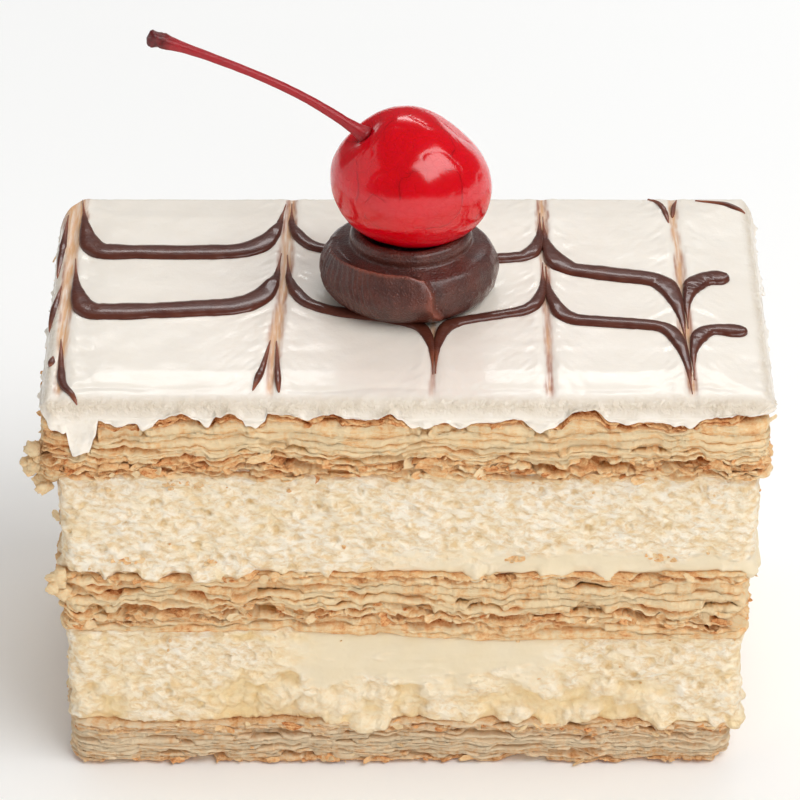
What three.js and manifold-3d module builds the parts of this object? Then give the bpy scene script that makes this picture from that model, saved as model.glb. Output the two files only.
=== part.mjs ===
// A slice of mille-feuille: three sheets of baked puff pastry with two layers of custard cream between
// them, white icing feathered with chocolate, and a piped chocolate rosette that holds a cherry by its stem.
// Millimetres, +Z up. The origin is the middle of the underside, and the cut front faces -Y.
import * as THREE from "three";
import { mergeVertices } from "three/addons/utils/BufferGeometryUtils.js";
import Module from "manifold-3d";

// The slice as a whole
const LENGTH = 105.2; // left to right, at the icing
const WIDENS = 0.6; // how much further each end stands out at the back than half way
const DEPTH = 64.5; // front to back
const HEIGHT = 62.3; // table to the icing's upper face
const CORNERS = { frontLeft: 3, frontRight: 3, backRight: 5, backLeft: 9 }; // radii of the upright corners

// Heights of the faces where one layer meets the next, from the table up
const LOWER_CREAM_FLOOR = 7.2;
const MIDDLE_PASTRY_FLOOR = 22.2;
const UPPER_CREAM_FLOOR = 33.3;
const TOP_PASTRY_FLOOR = 49.8;
const ICING_FLOOR = 58.9;

const GAP = 0.3; // clear space between neighbouring pieces
const COLUMNS = 36; // steps along the front and along the back
const FILES = 14; // steps along each end
const STATIONS = 2 * (COLUMNS + FILES); // points round the slice
const SHARED = { length: 95.4, shift: -0.5, inset: 1.5 }; // an outline that the meeting faces have in common

// The piped chocolate
const ROSETTE = { x: 0.5, y: 0.9, radius: 13.5, tuck: 11.4, foot: 10.2, height: 10.7 }; // tuck is low down
const LINE_HEIGHT = 0.95; // of a piped line above the icing
const LINE_SUNK = 0.7; // of a piped line under the icing's face

// The cherry: its middle, its half sizes, and where its stem comes out
const CHERRY = { x: 0.55, y: 0.9, z: HEIGHT + 18.3 };
const CHERRY_HALF = new THREE.Vector3(11.75, 11.3, 10.35);
const STEM_AWAY = new THREE.Vector3(-0.7, 0.02, 0.71).normalize();
const STEM_END = new THREE.Vector3(-37.2, 4.0, HEIGHT + 39.2);

// Numbers from 0 to 1 that are the same on every run
function seeded(seed) {
  let state = seed;
  return () => {
    state = (state + 0x6d2b79f5) | 0;
    let t = Math.imul(state ^ (state >>> 15), 1 | state);
    t = (t + Math.imul(t ^ (t >>> 7), 61 | t)) ^ t;
    return ((t ^ (t >>> 14)) >>> 0) / 4294967296;
  };
}

// An uneven line round the slice: a height or a reach in millimetres for each station, within +-amount.
// share is how much of it is torn from one station to the next, and the rest rolls in long waves.
function uneven(seed, amount, share = 0.5) {
  const random = seeded(seed);
  const waves = [3, 5, 8, 13].map((turns) => ({ turns, phase: random() * 2 * Math.PI }));
  return Array.from({ length: STATIONS }, (_, i) => {
    const turn = (2 * Math.PI * i) / STATIONS;
    const rolled = waves.reduce((all, w) => all + Math.sin(w.turns * turn + w.phase), 0) / waves.length;
    return amount * (share * (2 * random() - 1) + (1 - share) * rolled);
  });
}

const level = (height) => Array(STATIONS).fill(height);

// Stations round the slice, anticlockwise from the front left corner. across and along run from -1 to 1
// over the length and the depth, out is the way that the cut side faces, and worn is how far the rounding
// of the nearest upright corner brings the station in.
const stations = Array.from({ length: STATIONS }, (_, i) => {
  const side = [COLUMNS, FILES, COLUMNS, FILES];
  let k = i;
  let s = 0;
  while (k >= side[s]) k -= side[s++];
  const t = (2 * k) / side[s] - 1;
  const [across, along] = [[t, -1], [1, t], [-t, 1], [-1, -t]][s];
  const radius = CORNERS[(along < 0 ? "front" : "back") + (across < 0 ? "Left" : "Right")];
  const toCorner = s % 2 ? (DEPTH / 2) * (1 - Math.abs(along)) : (LENGTH / 2) * (1 - Math.abs(across));
  const rounded = toCorner < radius ? radius - Math.sqrt(radius ** 2 - (radius - toCorner) ** 2) : 0;
  const faces = [[0, -1], [1, 0], [0, 1], [-1, 0]][s];
  if (k) return { across, along, out: faces, worn: faces.map((v) => v * rounded) };
  const diagonal = [across, along].map((v) => v * Math.SQRT1_2);
  return { across, along, out: diagonal, worn: diagonal.map((v) => v * radius * (Math.SQRT2 - 1)) };
});

// One ring of points round a layer of that length, whose middle is shifted along the slice, at the heights
// z, each moved outwards by out
function ring({ length, shift = 0 }, z, out) {
  return stations.map((at, i) => {
    const x = shift + at.across * (length / 2 + WIDENS * at.along) - at.worn[0] + at.out[0] * out[i];
    const y = (at.along * DEPTH) / 2 - at.worn[1] + at.out[1] * out[i];
    return new THREE.Vector3(x, y, z[i]);
  });
}

// A closed surface over rings of equal count that run from its top to its underside.
// top and base are the points that close it, or null where the first ring is closed by a cover.
function closedSurface(rings, top, base, cover = null) {
  const points = rings.flat();
  const count = rings[0].length;
  const faces = [];
  const next = (i) => (i + 1) % count;
  for (let r = 0; r + 1 < rings.length; r++) {
    for (let i = 0; i < count; i++) {
      const [a, b] = [r * count + i, r * count + next(i)];
      faces.push([a, a + count, b + count], [a, b + count, b]);
    }
  }
  if (top) {
    points.push(top);
    for (let i = 0; i < count; i++) faces.push([points.length - 1, i, next(i)]);
  }
  const last = (rings.length - 1) * count;
  points.push(base);
  for (let i = 0; i < count; i++) faces.push([points.length - 1, last + next(i), last + i]);
  const corners = faces.flat().map((i) => points[i]);
  if (cover) corners.push(...cover);
  return mergeVertices(new THREE.BufferGeometry().setFromPoints(corners), 1e-3);
}

// A layer of food between two uneven faces. Each row of its side has a share of the height, from 0 at the
// top to 1 at the bottom, and a reach outwards. A foot is the width of the edge that curls off the table.
function layer({ outline, ceiling, floor, rows, foot = 0 }) {
  const top = ceiling.map((z) => z - GAP / 2);
  const under = floor.map((z) => (foot ? z : z + GAP / 2));
  const mean = (heights) => heights.reduce((a, b) => a + b, 0) / heights.length;
  const shared = (z) => ring(SHARED, z, level(-SHARED.inset));
  const sides = rows.map((row) => {
    const z = top.map((high, i) => (row.z ? row.z[i] : high + (under[i] - high) * row.share + row.wander[i]));
    return ring(outline, z, row.out);
  });
  const last = foot ? ring(outline, level(0), level(-foot)) : shared(under);
  const middle = new THREE.Vector3(0, 0, foot ? 0 : mean(under));
  return closedSurface([shared(top), ...sides, last], new THREE.Vector3(0, 0, mean(top)), middle);
}

// The side of a sheet of puff pastry: wavy leaves that stand out raggedly, with a deep groove under each
const LEAVES = 3;
const LEAF_REACH = 0.9;
const LEAF_WANDER = 0.45; // how far a groove strays up and down
const GROOVE_DEPTH = 1.9;
const GROOVE_UNEVEN = 0.6;
const LEAF_PARTS = { crest: 0.06, under: 0.62, groove: 0.84 }; // where they lie in a leaf's own height

// flakes lists single larger ones that stand out of a leaf: the leaf, the station and the extra reach
function leafRows(seed, flakes = []) {
  const rows = [];
  const flat = level(0);
  for (let leaf = 0; leaf < LEAVES; leaf++) {
    const edge = uneven(seed + leaf, LEAF_REACH);
    for (const flake of flakes.filter((one) => one.leaf === leaf)) edge[flake.station] += flake.reach;
    const underEdge = edge.map((reach) => 0.7 * reach);
    const groove = uneven(seed + leaf + 50, GROOVE_UNEVEN).map((v) => v - GROOVE_DEPTH);
    const [above, below] = [leaf, leaf + 1].map((n) => uneven(seed + n + 100, LEAF_WANDER, 0.35));
    const share = (part) => (leaf + part) / LEAVES;
    if (leaf) rows.push({ share: share(LEAF_PARTS.crest), out: edge, wander: above });
    else rows.push({ share: 0, out: edge, wander: flat });
    if (leaf < LEAVES - 1) {
      rows.push({ share: share(LEAF_PARTS.under), out: underEdge, wander: below });
      rows.push({ share: share(LEAF_PARTS.groove), out: groove, wander: below });
    } else rows.push({ share: 1, out: underEdge, wander: flat });
  }
  return rows;
}

// The side of a cream layer: nearly flat from the knife, with shallow hollows
const CREAM_REACH = 0.45;
const CREAM_SET_BACK = 0.35; // behind the pastry's leaves
const CREAM_ROWS = [0, 0.3, 0.68, 1]; // shares of the layer's height

function creamRows(seed) {
  return CREAM_ROWS.map((share, i) => ({
    share,
    out: uneven(seed + i, CREAM_REACH).map((v) => v - CREAM_SET_BACK),
    wander: level(0),
  }));
}

// The faces between layers, uneven where they reach the cut sides
const FACE_WAVE = 0.55;
const faceAt = (height, seed) => uneven(seed, FACE_WAVE, 0.3).map((wave) => height + wave);
const bottomFace = faceAt(LOWER_CREAM_FLOOR, 11);
const lowerCreamTop = faceAt(MIDDLE_PASTRY_FLOOR, 12);
const middlePastryTop = faceAt(UPPER_CREAM_FLOOR, 13);
const upperCreamTop = faceAt(TOP_PASTRY_FLOOR, 14);

// How far the icing hangs down over the top pastry: a ragged edge, with one drip by the front left corner
const SKIRT = 1.1; // thickness of that edge
const SKIRT_GAP = 0.5; // clear space under that edge
const SKIRT_HANG = 0.5;
const DRIP = { x: -47.6, halfWidth: 4.5, length: 4.3 };
const skirtEdge = uneven(21, 0.4);
const hang = stations.map((at, i) => {
  const aside = at.along === -1 ? Math.abs((at.across * LENGTH) / 2 - DRIP.x) / DRIP.halfWidth : 1;
  const dripping = aside < 1 ? Math.cos((Math.PI / 2) * aside) ** 1.5 : 0;
  return SKIRT_HANG + skirtEdge[i] + DRIP.length * dripping;
});

const FOOT = 3; // width of the edge that curls up off the table
const FOOT_CURL = 0.55;

const bottomPastry = layer({
  outline: { length: 99.1, shift: -1 },
  ceiling: bottomFace,
  floor: uneven(31, 0.45).map((v) => FOOT_CURL + v),
  rows: leafRows(100),
  foot: FOOT,
});
const lowerCream = layer({
  outline: { length: 100.7, shift: -0.2 },
  ceiling: lowerCreamTop,
  floor: bottomFace,
  rows: creamRows(200),
});
const middlePastry = layer({
  outline: { length: 101.6, shift: -0.4 },
  ceiling: middlePastryTop,
  floor: lowerCreamTop,
  rows: leafRows(300, [
    { leaf: 0, station: 98, reach: 1.9 },
    { leaf: 0, station: 51, reach: 1.2 },
  ]),
});
const upperCream = layer({
  outline: { length: 102.2, shift: 0.2 },
  ceiling: upperCreamTop,
  floor: middlePastryTop,
  rows: creamRows(400),
});

// The top pastry is set back where the icing's edge hangs over it
const underIcing = level(-SKIRT - GAP);
const hangEnd = hang.map((h) => ICING_FLOOR - h - SKIRT_GAP);
const topFlakes = [
  { leaf: 2, station: 99, reach: 1.2 },
  { leaf: 2, station: 37, reach: 0.8 },
];
const hungRows = leafRows(500, topFlakes).map((row) => {
  const z = hangEnd.map((high, i) => high + (upperCreamTop[i] + GAP / 2 - high) * row.share + row.wander[i]);
  return { ...row, z };
});
const topPastry = layer({
  outline: { length: 104.8, shift: -0.3 },
  ceiling: level(ICING_FLOOR),
  floor: upperCreamTop,
  rows: [{ z: level(ICING_FLOOR - GAP / 2), out: underIcing }, { z: hangEnd, out: underIcing }, ...hungRows],
});

// The icing's upper face: a little crowned, and laid over a grid that ends at the stations of its rim
const ICING_EDGE = 1.5; // radius of its rounded edge
const CROWN = 0.35;
const icingHeight = (x, y) => {
  const end = LENGTH / 2 + (WIDENS * y) / (DEPTH / 2);
  const toEdge = Math.min(end - Math.abs(x), DEPTH / 2 - Math.abs(y));
  const crowned = CROWN * Math.min(1, Math.max(0, toEdge - ICING_EDGE) / 6);
  return HEIGHT - CROWN + crowned - 0.5 * Math.max(0, ICING_EDGE - toEdge);
};

function icingCover(rim) {
  const rows = [];
  for (let f = 0; f <= FILES; f++) {
    const row = [];
    for (let c = 0; c <= COLUMNS; c++) {
      const [across, along] = [(2 * c) / COLUMNS - 1, (2 * f) / FILES - 1];
      const x = across * (LENGTH / 2 + WIDENS * along - ICING_EDGE);
      const y = along * (DEPTH / 2 - ICING_EDGE);
      const near = (a, b) => Math.abs(a - b) < 1e-6;
      const onRim = stations.findIndex((at) => near(at.across, across) && near(at.along, along));
      row.push(onRim >= 0 ? rim[onRim] : new THREE.Vector3(x, y, icingHeight(x, y)));
    }
    rows.push(row);
  }
  const corners = [];
  for (let f = 0; f < FILES; f++) {
    for (let c = 0; c < COLUMNS; c++) {
      const [a, b, d, e] = [rows[f][c], rows[f][c + 1], rows[f + 1][c + 1], rows[f + 1][c]];
      corners.push(a, b, d, a, d, e);
    }
  }
  return corners;
}

const icingOutline = { length: LENGTH };
const icingRim = ring(icingOutline, level(HEIGHT - CROWN), level(-ICING_EDGE));
const icingLip = uneven(61, 0.35, 0.4);
const skirtEnd = hang.map((h) => ICING_FLOOR - h);
const icingRings = [
  icingRim,
  ring(icingOutline, level(HEIGHT - 0.9), icingLip.map((v) => v - 0.4)),
  ring(icingOutline, level(ICING_FLOOR + 0.6), icingLip),
  ring(icingOutline, skirtEnd, icingLip.map((v) => 0.5 * v - 0.15)),
  ring(icingOutline, skirtEnd.map((z) => z + 0.1), level(-SKIRT)),
  ring(icingOutline, level(ICING_FLOOR + GAP / 2), level(-SKIRT)),
];
const icingUnder = new THREE.Vector3(0, 0, ICING_FLOOR + GAP / 2);
const plainIcing = closedSurface(icingRings, null, icingUnder, icingCover(icingRim));

// The feathering: combs drawn through the piped lines, to the back (pull > 0) or to the front. Each pair
// is for the line on the comb's left and on its right, and reach is the length over which the bend fades.
const COMBS = [
  { x: -50.2, clear: 1.2, pull: [9.4, 9.4], reach: [1.1, 1.15] },
  { x: -18.5, clear: 0.95, pull: [9.6, 8.6], reach: [2.1, 1.65] },
  { x: 3.9, clear: 0.35, pull: [-7, -7], reach: [0.9, 0.9] },
  { x: 20.5, clear: 0.4, pull: [7.3, 9.7], reach: [0.85, 1.1] },
  { x: 40.6, clear: 0.5, pull: [-11.8, -7.7], reach: [1.0, 1.1] },
];

// The two lines piped from left to right, as stretches between combs. y is where a stretch starts and ends
// before the combs bend it. The last stretch of each stops in a blob near the right edge.
const PIPED_LINES = [
  {
    end: 47.9,
    stretches: [
      { y: [12.2, 11.9], halfWidth: 1.25 },
      { y: [13.4, 11.3], halfWidth: 1.15 },
      { y: [8.6, 10.9], halfWidth: 0.95 },
      { y: [7.3, 3], halfWidth: 1.25 },
      { y: [3.6, 4.7], halfWidth: 1.5 },
    ],
  },
  {
    end: 49.4,
    stretches: [
      { y: [-6.8, -4.8], halfWidth: 1.4 },
      { y: [-4.2, -10.4], halfWidth: 0.9 },
      { y: [-10.2, -5.2], halfWidth: 0.9 },
      { y: [-8.8, -10.8], halfWidth: 1.15 },
      { y: [-11.2, -12.1], halfWidth: 1.0 },
    ],
  },
];

// Short ends of the lines that lie before the front edge, beyond the back one and down the left one
const STRAY_ENDS = [
  { halfWidth: 0.6, path: [[-50.3, -17.2], [-49.4, -22.8], [-48.7, -27.1], [-47.6, -31.2]] },
  { halfWidth: 0.45, path: [[-19.8, -17], [-20.6, -22.8], [-21.7, -28.5]] },
  { halfWidth: 0.45, path: [[-18.9, -18], [-18.6, -24.2], [-18.2, -28.9]] },
  { halfWidth: 0.5, path: [[-52.2, 20.5], [-52.1, 15.6], [-52, 8.4]] },
  { halfWidth: 0.5, path: [[-51.7, 2.1], [-51.8, -3.4], [-51.6, -8.2]] },
  { halfWidth: 0.5, path: [[33, 30], [37.8, 29.2], [39.6, 28], [40.1, 23.2]] },
  { halfWidth: 0.45, path: [[45.5, 29.5], [48.9, 28], [51.5, 25.5]] },
];
const BEAD_SIDES = 6;
const BEAD_STEPS = 10; // along a whole stretch between two combs
const SEARCH_STEPS = 100; // in which the places where a stretch meets the rosette are looked for
const TIP = 0.3; // half width of a bead where it has been drawn out

// A point of a line's stretch, t of the way from one comb to the next
function combed(line, index, t) {
  const [before, after] = [COMBS[index], COMBS[index + 1]];
  const start = before.x + before.clear;
  const end = after ? after.x - after.clear : line.end;
  const { y: plain, halfWidth } = line.stretches[index];
  const x = THREE.MathUtils.lerp(start, end, t);
  let y = THREE.MathUtils.lerp(...plain, t) + before.pull[1] * Math.exp((start - x) / before.reach[1]);
  if (after) y += after.pull[0] * Math.exp((x - end) / after.reach[0]);
  const tip = after || t < 0.5 ? TIP : 0.75 * halfWidth;
  const filled = Math.min(1, 3.4 * Math.sqrt(t * (1 - t)));
  return { x, y, halfWidth: tip + (halfWidth - tip) * filled };
}

// A bead of chocolate along points on the icing, as a closed tube with an oval section
function bead(path) {
  const rings = path.map(({ x, y, halfWidth }, i) => {
    const [before, after] = [path[Math.max(0, i - 1)], path[Math.min(path.length - 1, i + 1)]];
    const run = new THREE.Vector2(after.x - before.x, after.y - before.y).normalize();
    const proud = LINE_HEIGHT * Math.min(1, 0.35 + halfWidth / 1.6);
    const z = icingHeight(x, y) + (proud - LINE_SUNK) / 2;
    return Array.from({ length: BEAD_SIDES }, (_, k) => {
      const turn = (2 * Math.PI * (k + 0.5)) / BEAD_SIDES;
      const aside = halfWidth * Math.cos(turn);
      const rise = ((proud + LINE_SUNK) / 2) * Math.sin(turn);
      return new THREE.Vector3(x - run.y * aside, y + run.x * aside, z + rise);
    });
  });
  const middle = ({ x, y }) => new THREE.Vector3(x, y, icingHeight(x, y));
  return closedSurface(rings.reverse(), middle(path.at(-1)), middle(path[0]));
}

// The paths of one line, with closer steps near the combs, broken where the rosette stands on it
function beadPaths(line) {
  const clear = ({ x, y, halfWidth }) =>
    Math.hypot(x - ROSETTE.x, y - ROSETTE.y) > ROSETTE.tuck + 0.9 * halfWidth + GAP;
  return line.stretches.flatMap((_, index) => {
    const runs = [];
    let open = false;
    for (let i = 0; i <= SEARCH_STEPS; i++) {
      const t = i / SEARCH_STEPS;
      const isClear = clear(combed(line, index, t));
      if (isClear && open) runs.at(-1)[1] = t;
      else if (isClear) runs.push([t, t]);
      open = isClear;
    }
    return runs
      .filter(([from, to]) => to > from)
      .map(([from, to]) => {
        const steps = Math.max(3, Math.round(BEAD_STEPS * (to - from)));
        return Array.from({ length: steps + 1 }, (_, i) => {
          const eased = 0.5 - 0.5 * Math.cos((Math.PI * i) / steps);
          return combed(line, index, THREE.MathUtils.lerp(from, to, eased));
        });
      });
  });
}

const strayPath = ({ halfWidth, path }) =>
  path.map(([x, y], i) => ({ x, y, halfWidth: i === 0 ? TIP : halfWidth }));

const wasm = await Module();
wasm.setup();

function solidOf(geometry) {
  const plain = geometry.clone();
  for (const name of ["normal", "uv"]) plain.deleteAttribute(name);
  const merged = mergeVertices(plain, 1e-3);
  const vertProperties = merged.attributes.position.array;
  const triVerts = new Uint32Array(merged.index.array);
  return new wasm.Manifold(new wasm.Mesh({ numProp: 3, vertProperties, triVerts }));
}

function geometryOf(solid) {
  const { vertProperties, triVerts } = solid.getMesh();
  const geometry = new THREE.BufferGeometry();
  geometry.setAttribute("position", new THREE.BufferAttribute(vertProperties, 3));
  geometry.setIndex(new THREE.BufferAttribute(triVerts, 1));
  return geometry;
}

const beads = [...PIPED_LINES.flatMap(beadPaths), ...STRAY_ENDS.map(strayPath)].map(bead);
const icing = geometryOf(beads.reduce((joined, one) => joined.add(solidOf(one)), solidOf(plainIcing)));

// The underside of the cherry at a distance from its upright axis, above the icing
const cherryUnderside = (away) => {
  const share = Math.min(0.98, away / CHERRY_HALF.x);
  return CHERRY.z - HEIGHT - CHERRY_HALF.z * Math.sqrt(1 - share * share);
};

// The rosette: a fat coil of ganache with a smaller one on it that cups the cherry. Each row is a distance
// from the middle and a height above the icing. The coil's end laps over its start at the front.
const ROSETTE_COLUMNS = 30;
const COIL = [
  [8.3, ROSETTE.height],
  [9.5, 10.3],
  [10, 9.1],
  [9.4, 8.2],
  [10.9, 7.9],
  [12.6, 6.2],
  [ROSETTE.radius, 3.6],
  [12.9, 2.2],
  [ROSETTE.tuck, 1.2],
  [ROSETTE.foot, GAP + 0.1],
];
const SEAM_TURN = -1.33; // where the coil's end lies, as an angle from +X
const SEAM_STEP = 0.9; // how much further out the lapped side stands
const SEAM_LIFT = 0.7; // how much higher it stands
const FAT_COIL = 8; // height of the lower coil
const DISH_CLEAR = 0.4; // between the dished top and the cherry

function rosetteRing([away, height]) {
  return Array.from({ length: ROSETTE_COLUMNS }, (_, i) => {
    const wound = (i + 0.5) / ROSETTE_COLUMNS;
    const turn = SEAM_TURN + 2 * Math.PI * wound;
    const bulge = Math.sin((Math.PI * Math.min(height, FAT_COIL)) / FAT_COIL);
    const lobes = height < ROSETTE.height - 1 ? 0.25 * Math.sin(3 * turn) : 0;
    const reach = away + bulge * SEAM_STEP * (wound - 0.75) + lobes;
    const lift = height > 2 && height < 9 ? SEAM_LIFT * (wound - 0.5) : 0;
    const x = ROSETTE.x + reach * Math.cos(turn);
    return new THREE.Vector3(x, ROSETTE.y + reach * Math.sin(turn), HEIGHT + height + lift);
  });
}

const dish = [3, 6].map((away) => [away, cherryUnderside(away) - DISH_CLEAR]);
const [dishBottom, footBottom] = [cherryUnderside(0) - DISH_CLEAR, COIL.at(-1)[1]].map(
  (height) => new THREE.Vector3(ROSETTE.x, ROSETTE.y, HEIGHT + height),
);
const rosette = closedSurface([...dish, ...COIL].map(rosetteRing), dishBottom, footBottom);

// The cherry: a preserved fruit, no longer quite round. Each dent or swell has a direction, a width as the
// cosine distance over which it fades, and a depth in millimetres.
const CHERRY_SHAPE = [
  { way: STEM_AWAY, width: 0.05, rise: -1.5 },
  { way: new THREE.Vector3(0.72, 0.15, 0.66).normalize(), width: 0.14, rise: -1.7 },
  { way: new THREE.Vector3(0.9, -0.3, -0.35).normalize(), width: 0.1, rise: 0.6 },
  { way: new THREE.Vector3(-0.3, -0.5, -0.75).normalize(), width: 0.15, rise: -0.4 },
];
const cherryReach = (way) => {
  const oval = 1 / Math.hypot(way.x / CHERRY_HALF.x, way.y / CHERRY_HALF.y, way.z / CHERRY_HALF.z);
  return CHERRY_SHAPE.reduce((reach, s) => reach + s.rise * Math.exp((way.dot(s.way) - 1) / s.width), oval);
};

function cherryGeometry() {
  const geometry = new THREE.SphereGeometry(1, 26, 15);
  const at = geometry.attributes.position;
  for (let i = 0; i < at.count; i++) {
    const way = new THREE.Vector3().fromBufferAttribute(at, i).normalize();
    const point = way.clone().multiplyScalar(cherryReach(way));
    at.setXYZ(i, point.x, point.y, point.z);
  }
  for (const name of ["normal", "uv"]) geometry.deleteAttribute(name);
  return mergeVertices(geometry, 1e-3);
}

// The stem: half thicknesses along it, from the flare in the cherry's dimple to the torn knob at its end
const STEM_HALF = [1.3, 0.9, 0.72, 0.65, 0.62, 0.62, 0.65, 0.75, 1.0, 1.25, 1.25, 0.95];
const STEM_AT = [0, 0.05, 0.12, 0.25, 0.4, 0.55, 0.7, 0.82, 0.9, 0.955, 0.985, 1];
const STEM_SIDES = 8;
const STEM_BOW = 3.9; // how far the middle of its control line stands above a straight line
const STEM_CLEAR = 0.85; // from the bottom of the cherry's dimple

function stemGeometry() {
  const middle = new THREE.Vector3(CHERRY.x, CHERRY.y, CHERRY.z);
  const start = middle.clone().addScaledVector(STEM_AWAY, cherryReach(STEM_AWAY) + STEM_CLEAR);
  const bow = start.clone().lerp(STEM_END, 0.5).add(new THREE.Vector3(0, 0, STEM_BOW));
  const line = new THREE.QuadraticBezierCurve3(start, bow, STEM_END);
  const rings = STEM_AT.map((t, i) => {
    const run = line.getTangent(t);
    const side = new THREE.Vector3(0, 1, 0).cross(run).normalize();
    const other = run.clone().cross(side);
    return Array.from({ length: STEM_SIDES }, (_, k) => {
      const turn = (2 * Math.PI * k) / STEM_SIDES;
      return line
        .getPoint(t)
        .addScaledVector(side, STEM_HALF[i] * Math.cos(turn))
        .addScaledVector(other, STEM_HALF[i] * Math.sin(turn));
    });
  });
  return closedSurface(rings.reverse(), STEM_END.clone(), start);
}

// A named piece with its own finish
function piece(name, geometry, color, roughness) {
  const material = new THREE.MeshStandardMaterial({ color, roughness, metalness: 0 });
  const mesh = new THREE.Mesh(geometry, material);
  mesh.name = name;
  return mesh;
}

const cherry = piece("cherry", cherryGeometry(), "#c8102a", 0.18);
cherry.position.set(CHERRY.x, CHERRY.y, CHERRY.z);

const slice = new THREE.Group();
slice.add(
  piece("bottom_pastry", bottomPastry, "#d3b384", 0.85),
  piece("lower_cream", lowerCream, "#efe2bf", 0.6),
  piece("middle_pastry", middlePastry, "#dcb983", 0.85),
  piece("upper_cream", upperCream, "#f1e7cb", 0.6),
  piece("top_pastry", topPastry, "#dab27a", 0.85),
  piece("icing", icing, "#f6f1e8", 0.35),
  piece("chocolate_rosette", rosette, "#3f241e", 0.5),
  cherry,
  piece("cherry_stem", stemGeometry(), "#7c1418", 0.4),
);

export default slice;
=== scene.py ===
"""Looks of a slice of mille-feuille.

Three sheets of baked puff pastry, two layers of custard cream, white icing feathered with chocolate, and a
piped chocolate rosette that holds a cherry with its stem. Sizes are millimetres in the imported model's frame,
and MM turns them into metres where they go into a mesh, a material or the studio. The slice's cut front
faces -Y, and +Z is up.
"""
from __future__ import annotations

import logging
import math
from dataclasses import dataclass, field
from enum import Enum
from typing import Any

import bpy
import numpy as np
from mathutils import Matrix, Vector

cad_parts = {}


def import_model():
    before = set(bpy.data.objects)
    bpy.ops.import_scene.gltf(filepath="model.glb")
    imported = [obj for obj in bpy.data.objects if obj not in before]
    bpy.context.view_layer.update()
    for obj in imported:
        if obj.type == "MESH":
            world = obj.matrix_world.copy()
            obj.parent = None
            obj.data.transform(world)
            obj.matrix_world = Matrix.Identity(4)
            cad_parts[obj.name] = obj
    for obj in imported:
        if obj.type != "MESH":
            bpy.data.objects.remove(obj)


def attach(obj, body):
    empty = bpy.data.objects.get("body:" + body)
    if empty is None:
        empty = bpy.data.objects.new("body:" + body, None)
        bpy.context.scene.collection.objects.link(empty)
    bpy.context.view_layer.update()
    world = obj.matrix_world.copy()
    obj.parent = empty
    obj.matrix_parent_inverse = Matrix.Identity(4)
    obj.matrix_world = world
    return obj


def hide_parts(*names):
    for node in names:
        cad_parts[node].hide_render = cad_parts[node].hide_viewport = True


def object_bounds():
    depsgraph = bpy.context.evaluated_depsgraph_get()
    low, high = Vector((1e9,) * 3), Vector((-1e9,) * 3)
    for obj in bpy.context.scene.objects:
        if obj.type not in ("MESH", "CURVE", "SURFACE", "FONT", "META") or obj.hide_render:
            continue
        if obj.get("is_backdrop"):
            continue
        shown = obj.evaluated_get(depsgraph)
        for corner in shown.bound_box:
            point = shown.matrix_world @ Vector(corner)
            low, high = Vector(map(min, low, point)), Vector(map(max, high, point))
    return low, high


log = logging.getLogger("mille_feuille")

MM = 0.001

Tree = bpy.types.NodeTree
Socket = bpy.types.NodeSocket
Heights = tuple[tuple[Socket, float], ...]
Numbers = np.ndarray | float


class Pastry(Enum):
    """The three sheets of puff pastry, by the CAD node that each stands for."""

    TOP = "top_pastry"
    MIDDLE = "middle_pastry"
    BOTTOM = "bottom_pastry"


class Cream(Enum):
    """The two layers of cream, by the CAD node that each stands for."""

    UPPER = "upper_cream"
    LOWER = "lower_cream"


def linear(hex_colour: str) -> tuple[float, float, float, float]:
    """Turns an sRGB colour into the linear one that shaders take.

    Args:
        hex_colour: Six hex digits after a #.

    Returns:
        Red, green, blue and an alpha of 1.
    """
    channels = [int(hex_colour[i : i + 2], 16) / 255 for i in (1, 3, 5)]
    red, green, blue = [c / 12.92 if c <= 0.04045 else ((c + 0.055) / 1.055) ** 2.4 for c in channels]
    return red, green, blue, 1.0


def hashed(cell: np.ndarray, seed: int) -> np.ndarray:
    """Scrambles whole-number cells into evenly spread numbers.

    Args:
        cell: Whole numbers of shape (n, 3).
        seed: Which scramble to use.

    Returns:
        Unsigned numbers of shape (n,).
    """
    x, y, z = cell.astype(np.int64).astype(np.uint64).T
    mixed = x * np.uint64(374761393) + y * np.uint64(668265263) + z * np.uint64(2147483647)
    mixed = (mixed + np.uint64(seed * 974634777 + 12345)) & np.uint64(0xFFFFFFFF)
    for _ in range(2):
        mixed = ((mixed ^ (mixed >> np.uint64(13))) * np.uint64(1274126177)) & np.uint64(0xFFFFFFFF)
    return mixed ^ (mixed >> np.uint64(16))


def drawn(cell: np.ndarray, seed: int, count: int) -> np.ndarray:
    """Draws whole numbers from 0 to 1023 for each cell, always the same ones.

    Args:
        cell: Whole numbers of shape (n, 3).
        seed: Which draw to use.
        count: How many to draw for each, up to 3.

    Returns:
        Numbers of shape (n, count).
    """
    shifts = np.arange(count, dtype=np.uint64) * np.uint64(10)
    return ((hashed(cell, seed)[:, None] >> shifts) & np.uint64(1023)).astype(float)


def noise(points: np.ndarray, size: float, seed: int) -> np.ndarray:
    """Smooth seeded noise.

    Args:
        points: Places in millimetres, of shape (..., 3).
        size: Width of one swell, in millimetres.
        seed: Which noise to use.

    Returns:
        Values from about -1 to 1, of shape (...).
    """
    flat = np.asarray(points, float).reshape(-1, 3) / size + 0.37 * seed
    cell = np.floor(flat)
    part = flat - cell
    ease = part**3 * (part * (part * 6 - 15) + 10)
    total = np.zeros(len(flat))
    for corner in np.ndindex(2, 2, 2):
        corner = np.array(corner)
        slopes = drawn(cell + corner, seed, 3) / 511.5 - 1
        weight = np.prod(np.where(corner == 1, ease, 1 - ease), axis=1)
        total += weight * np.sum(slopes * (part - corner), axis=1)
    return (1.5 * total).reshape(np.shape(points)[:-1])


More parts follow.
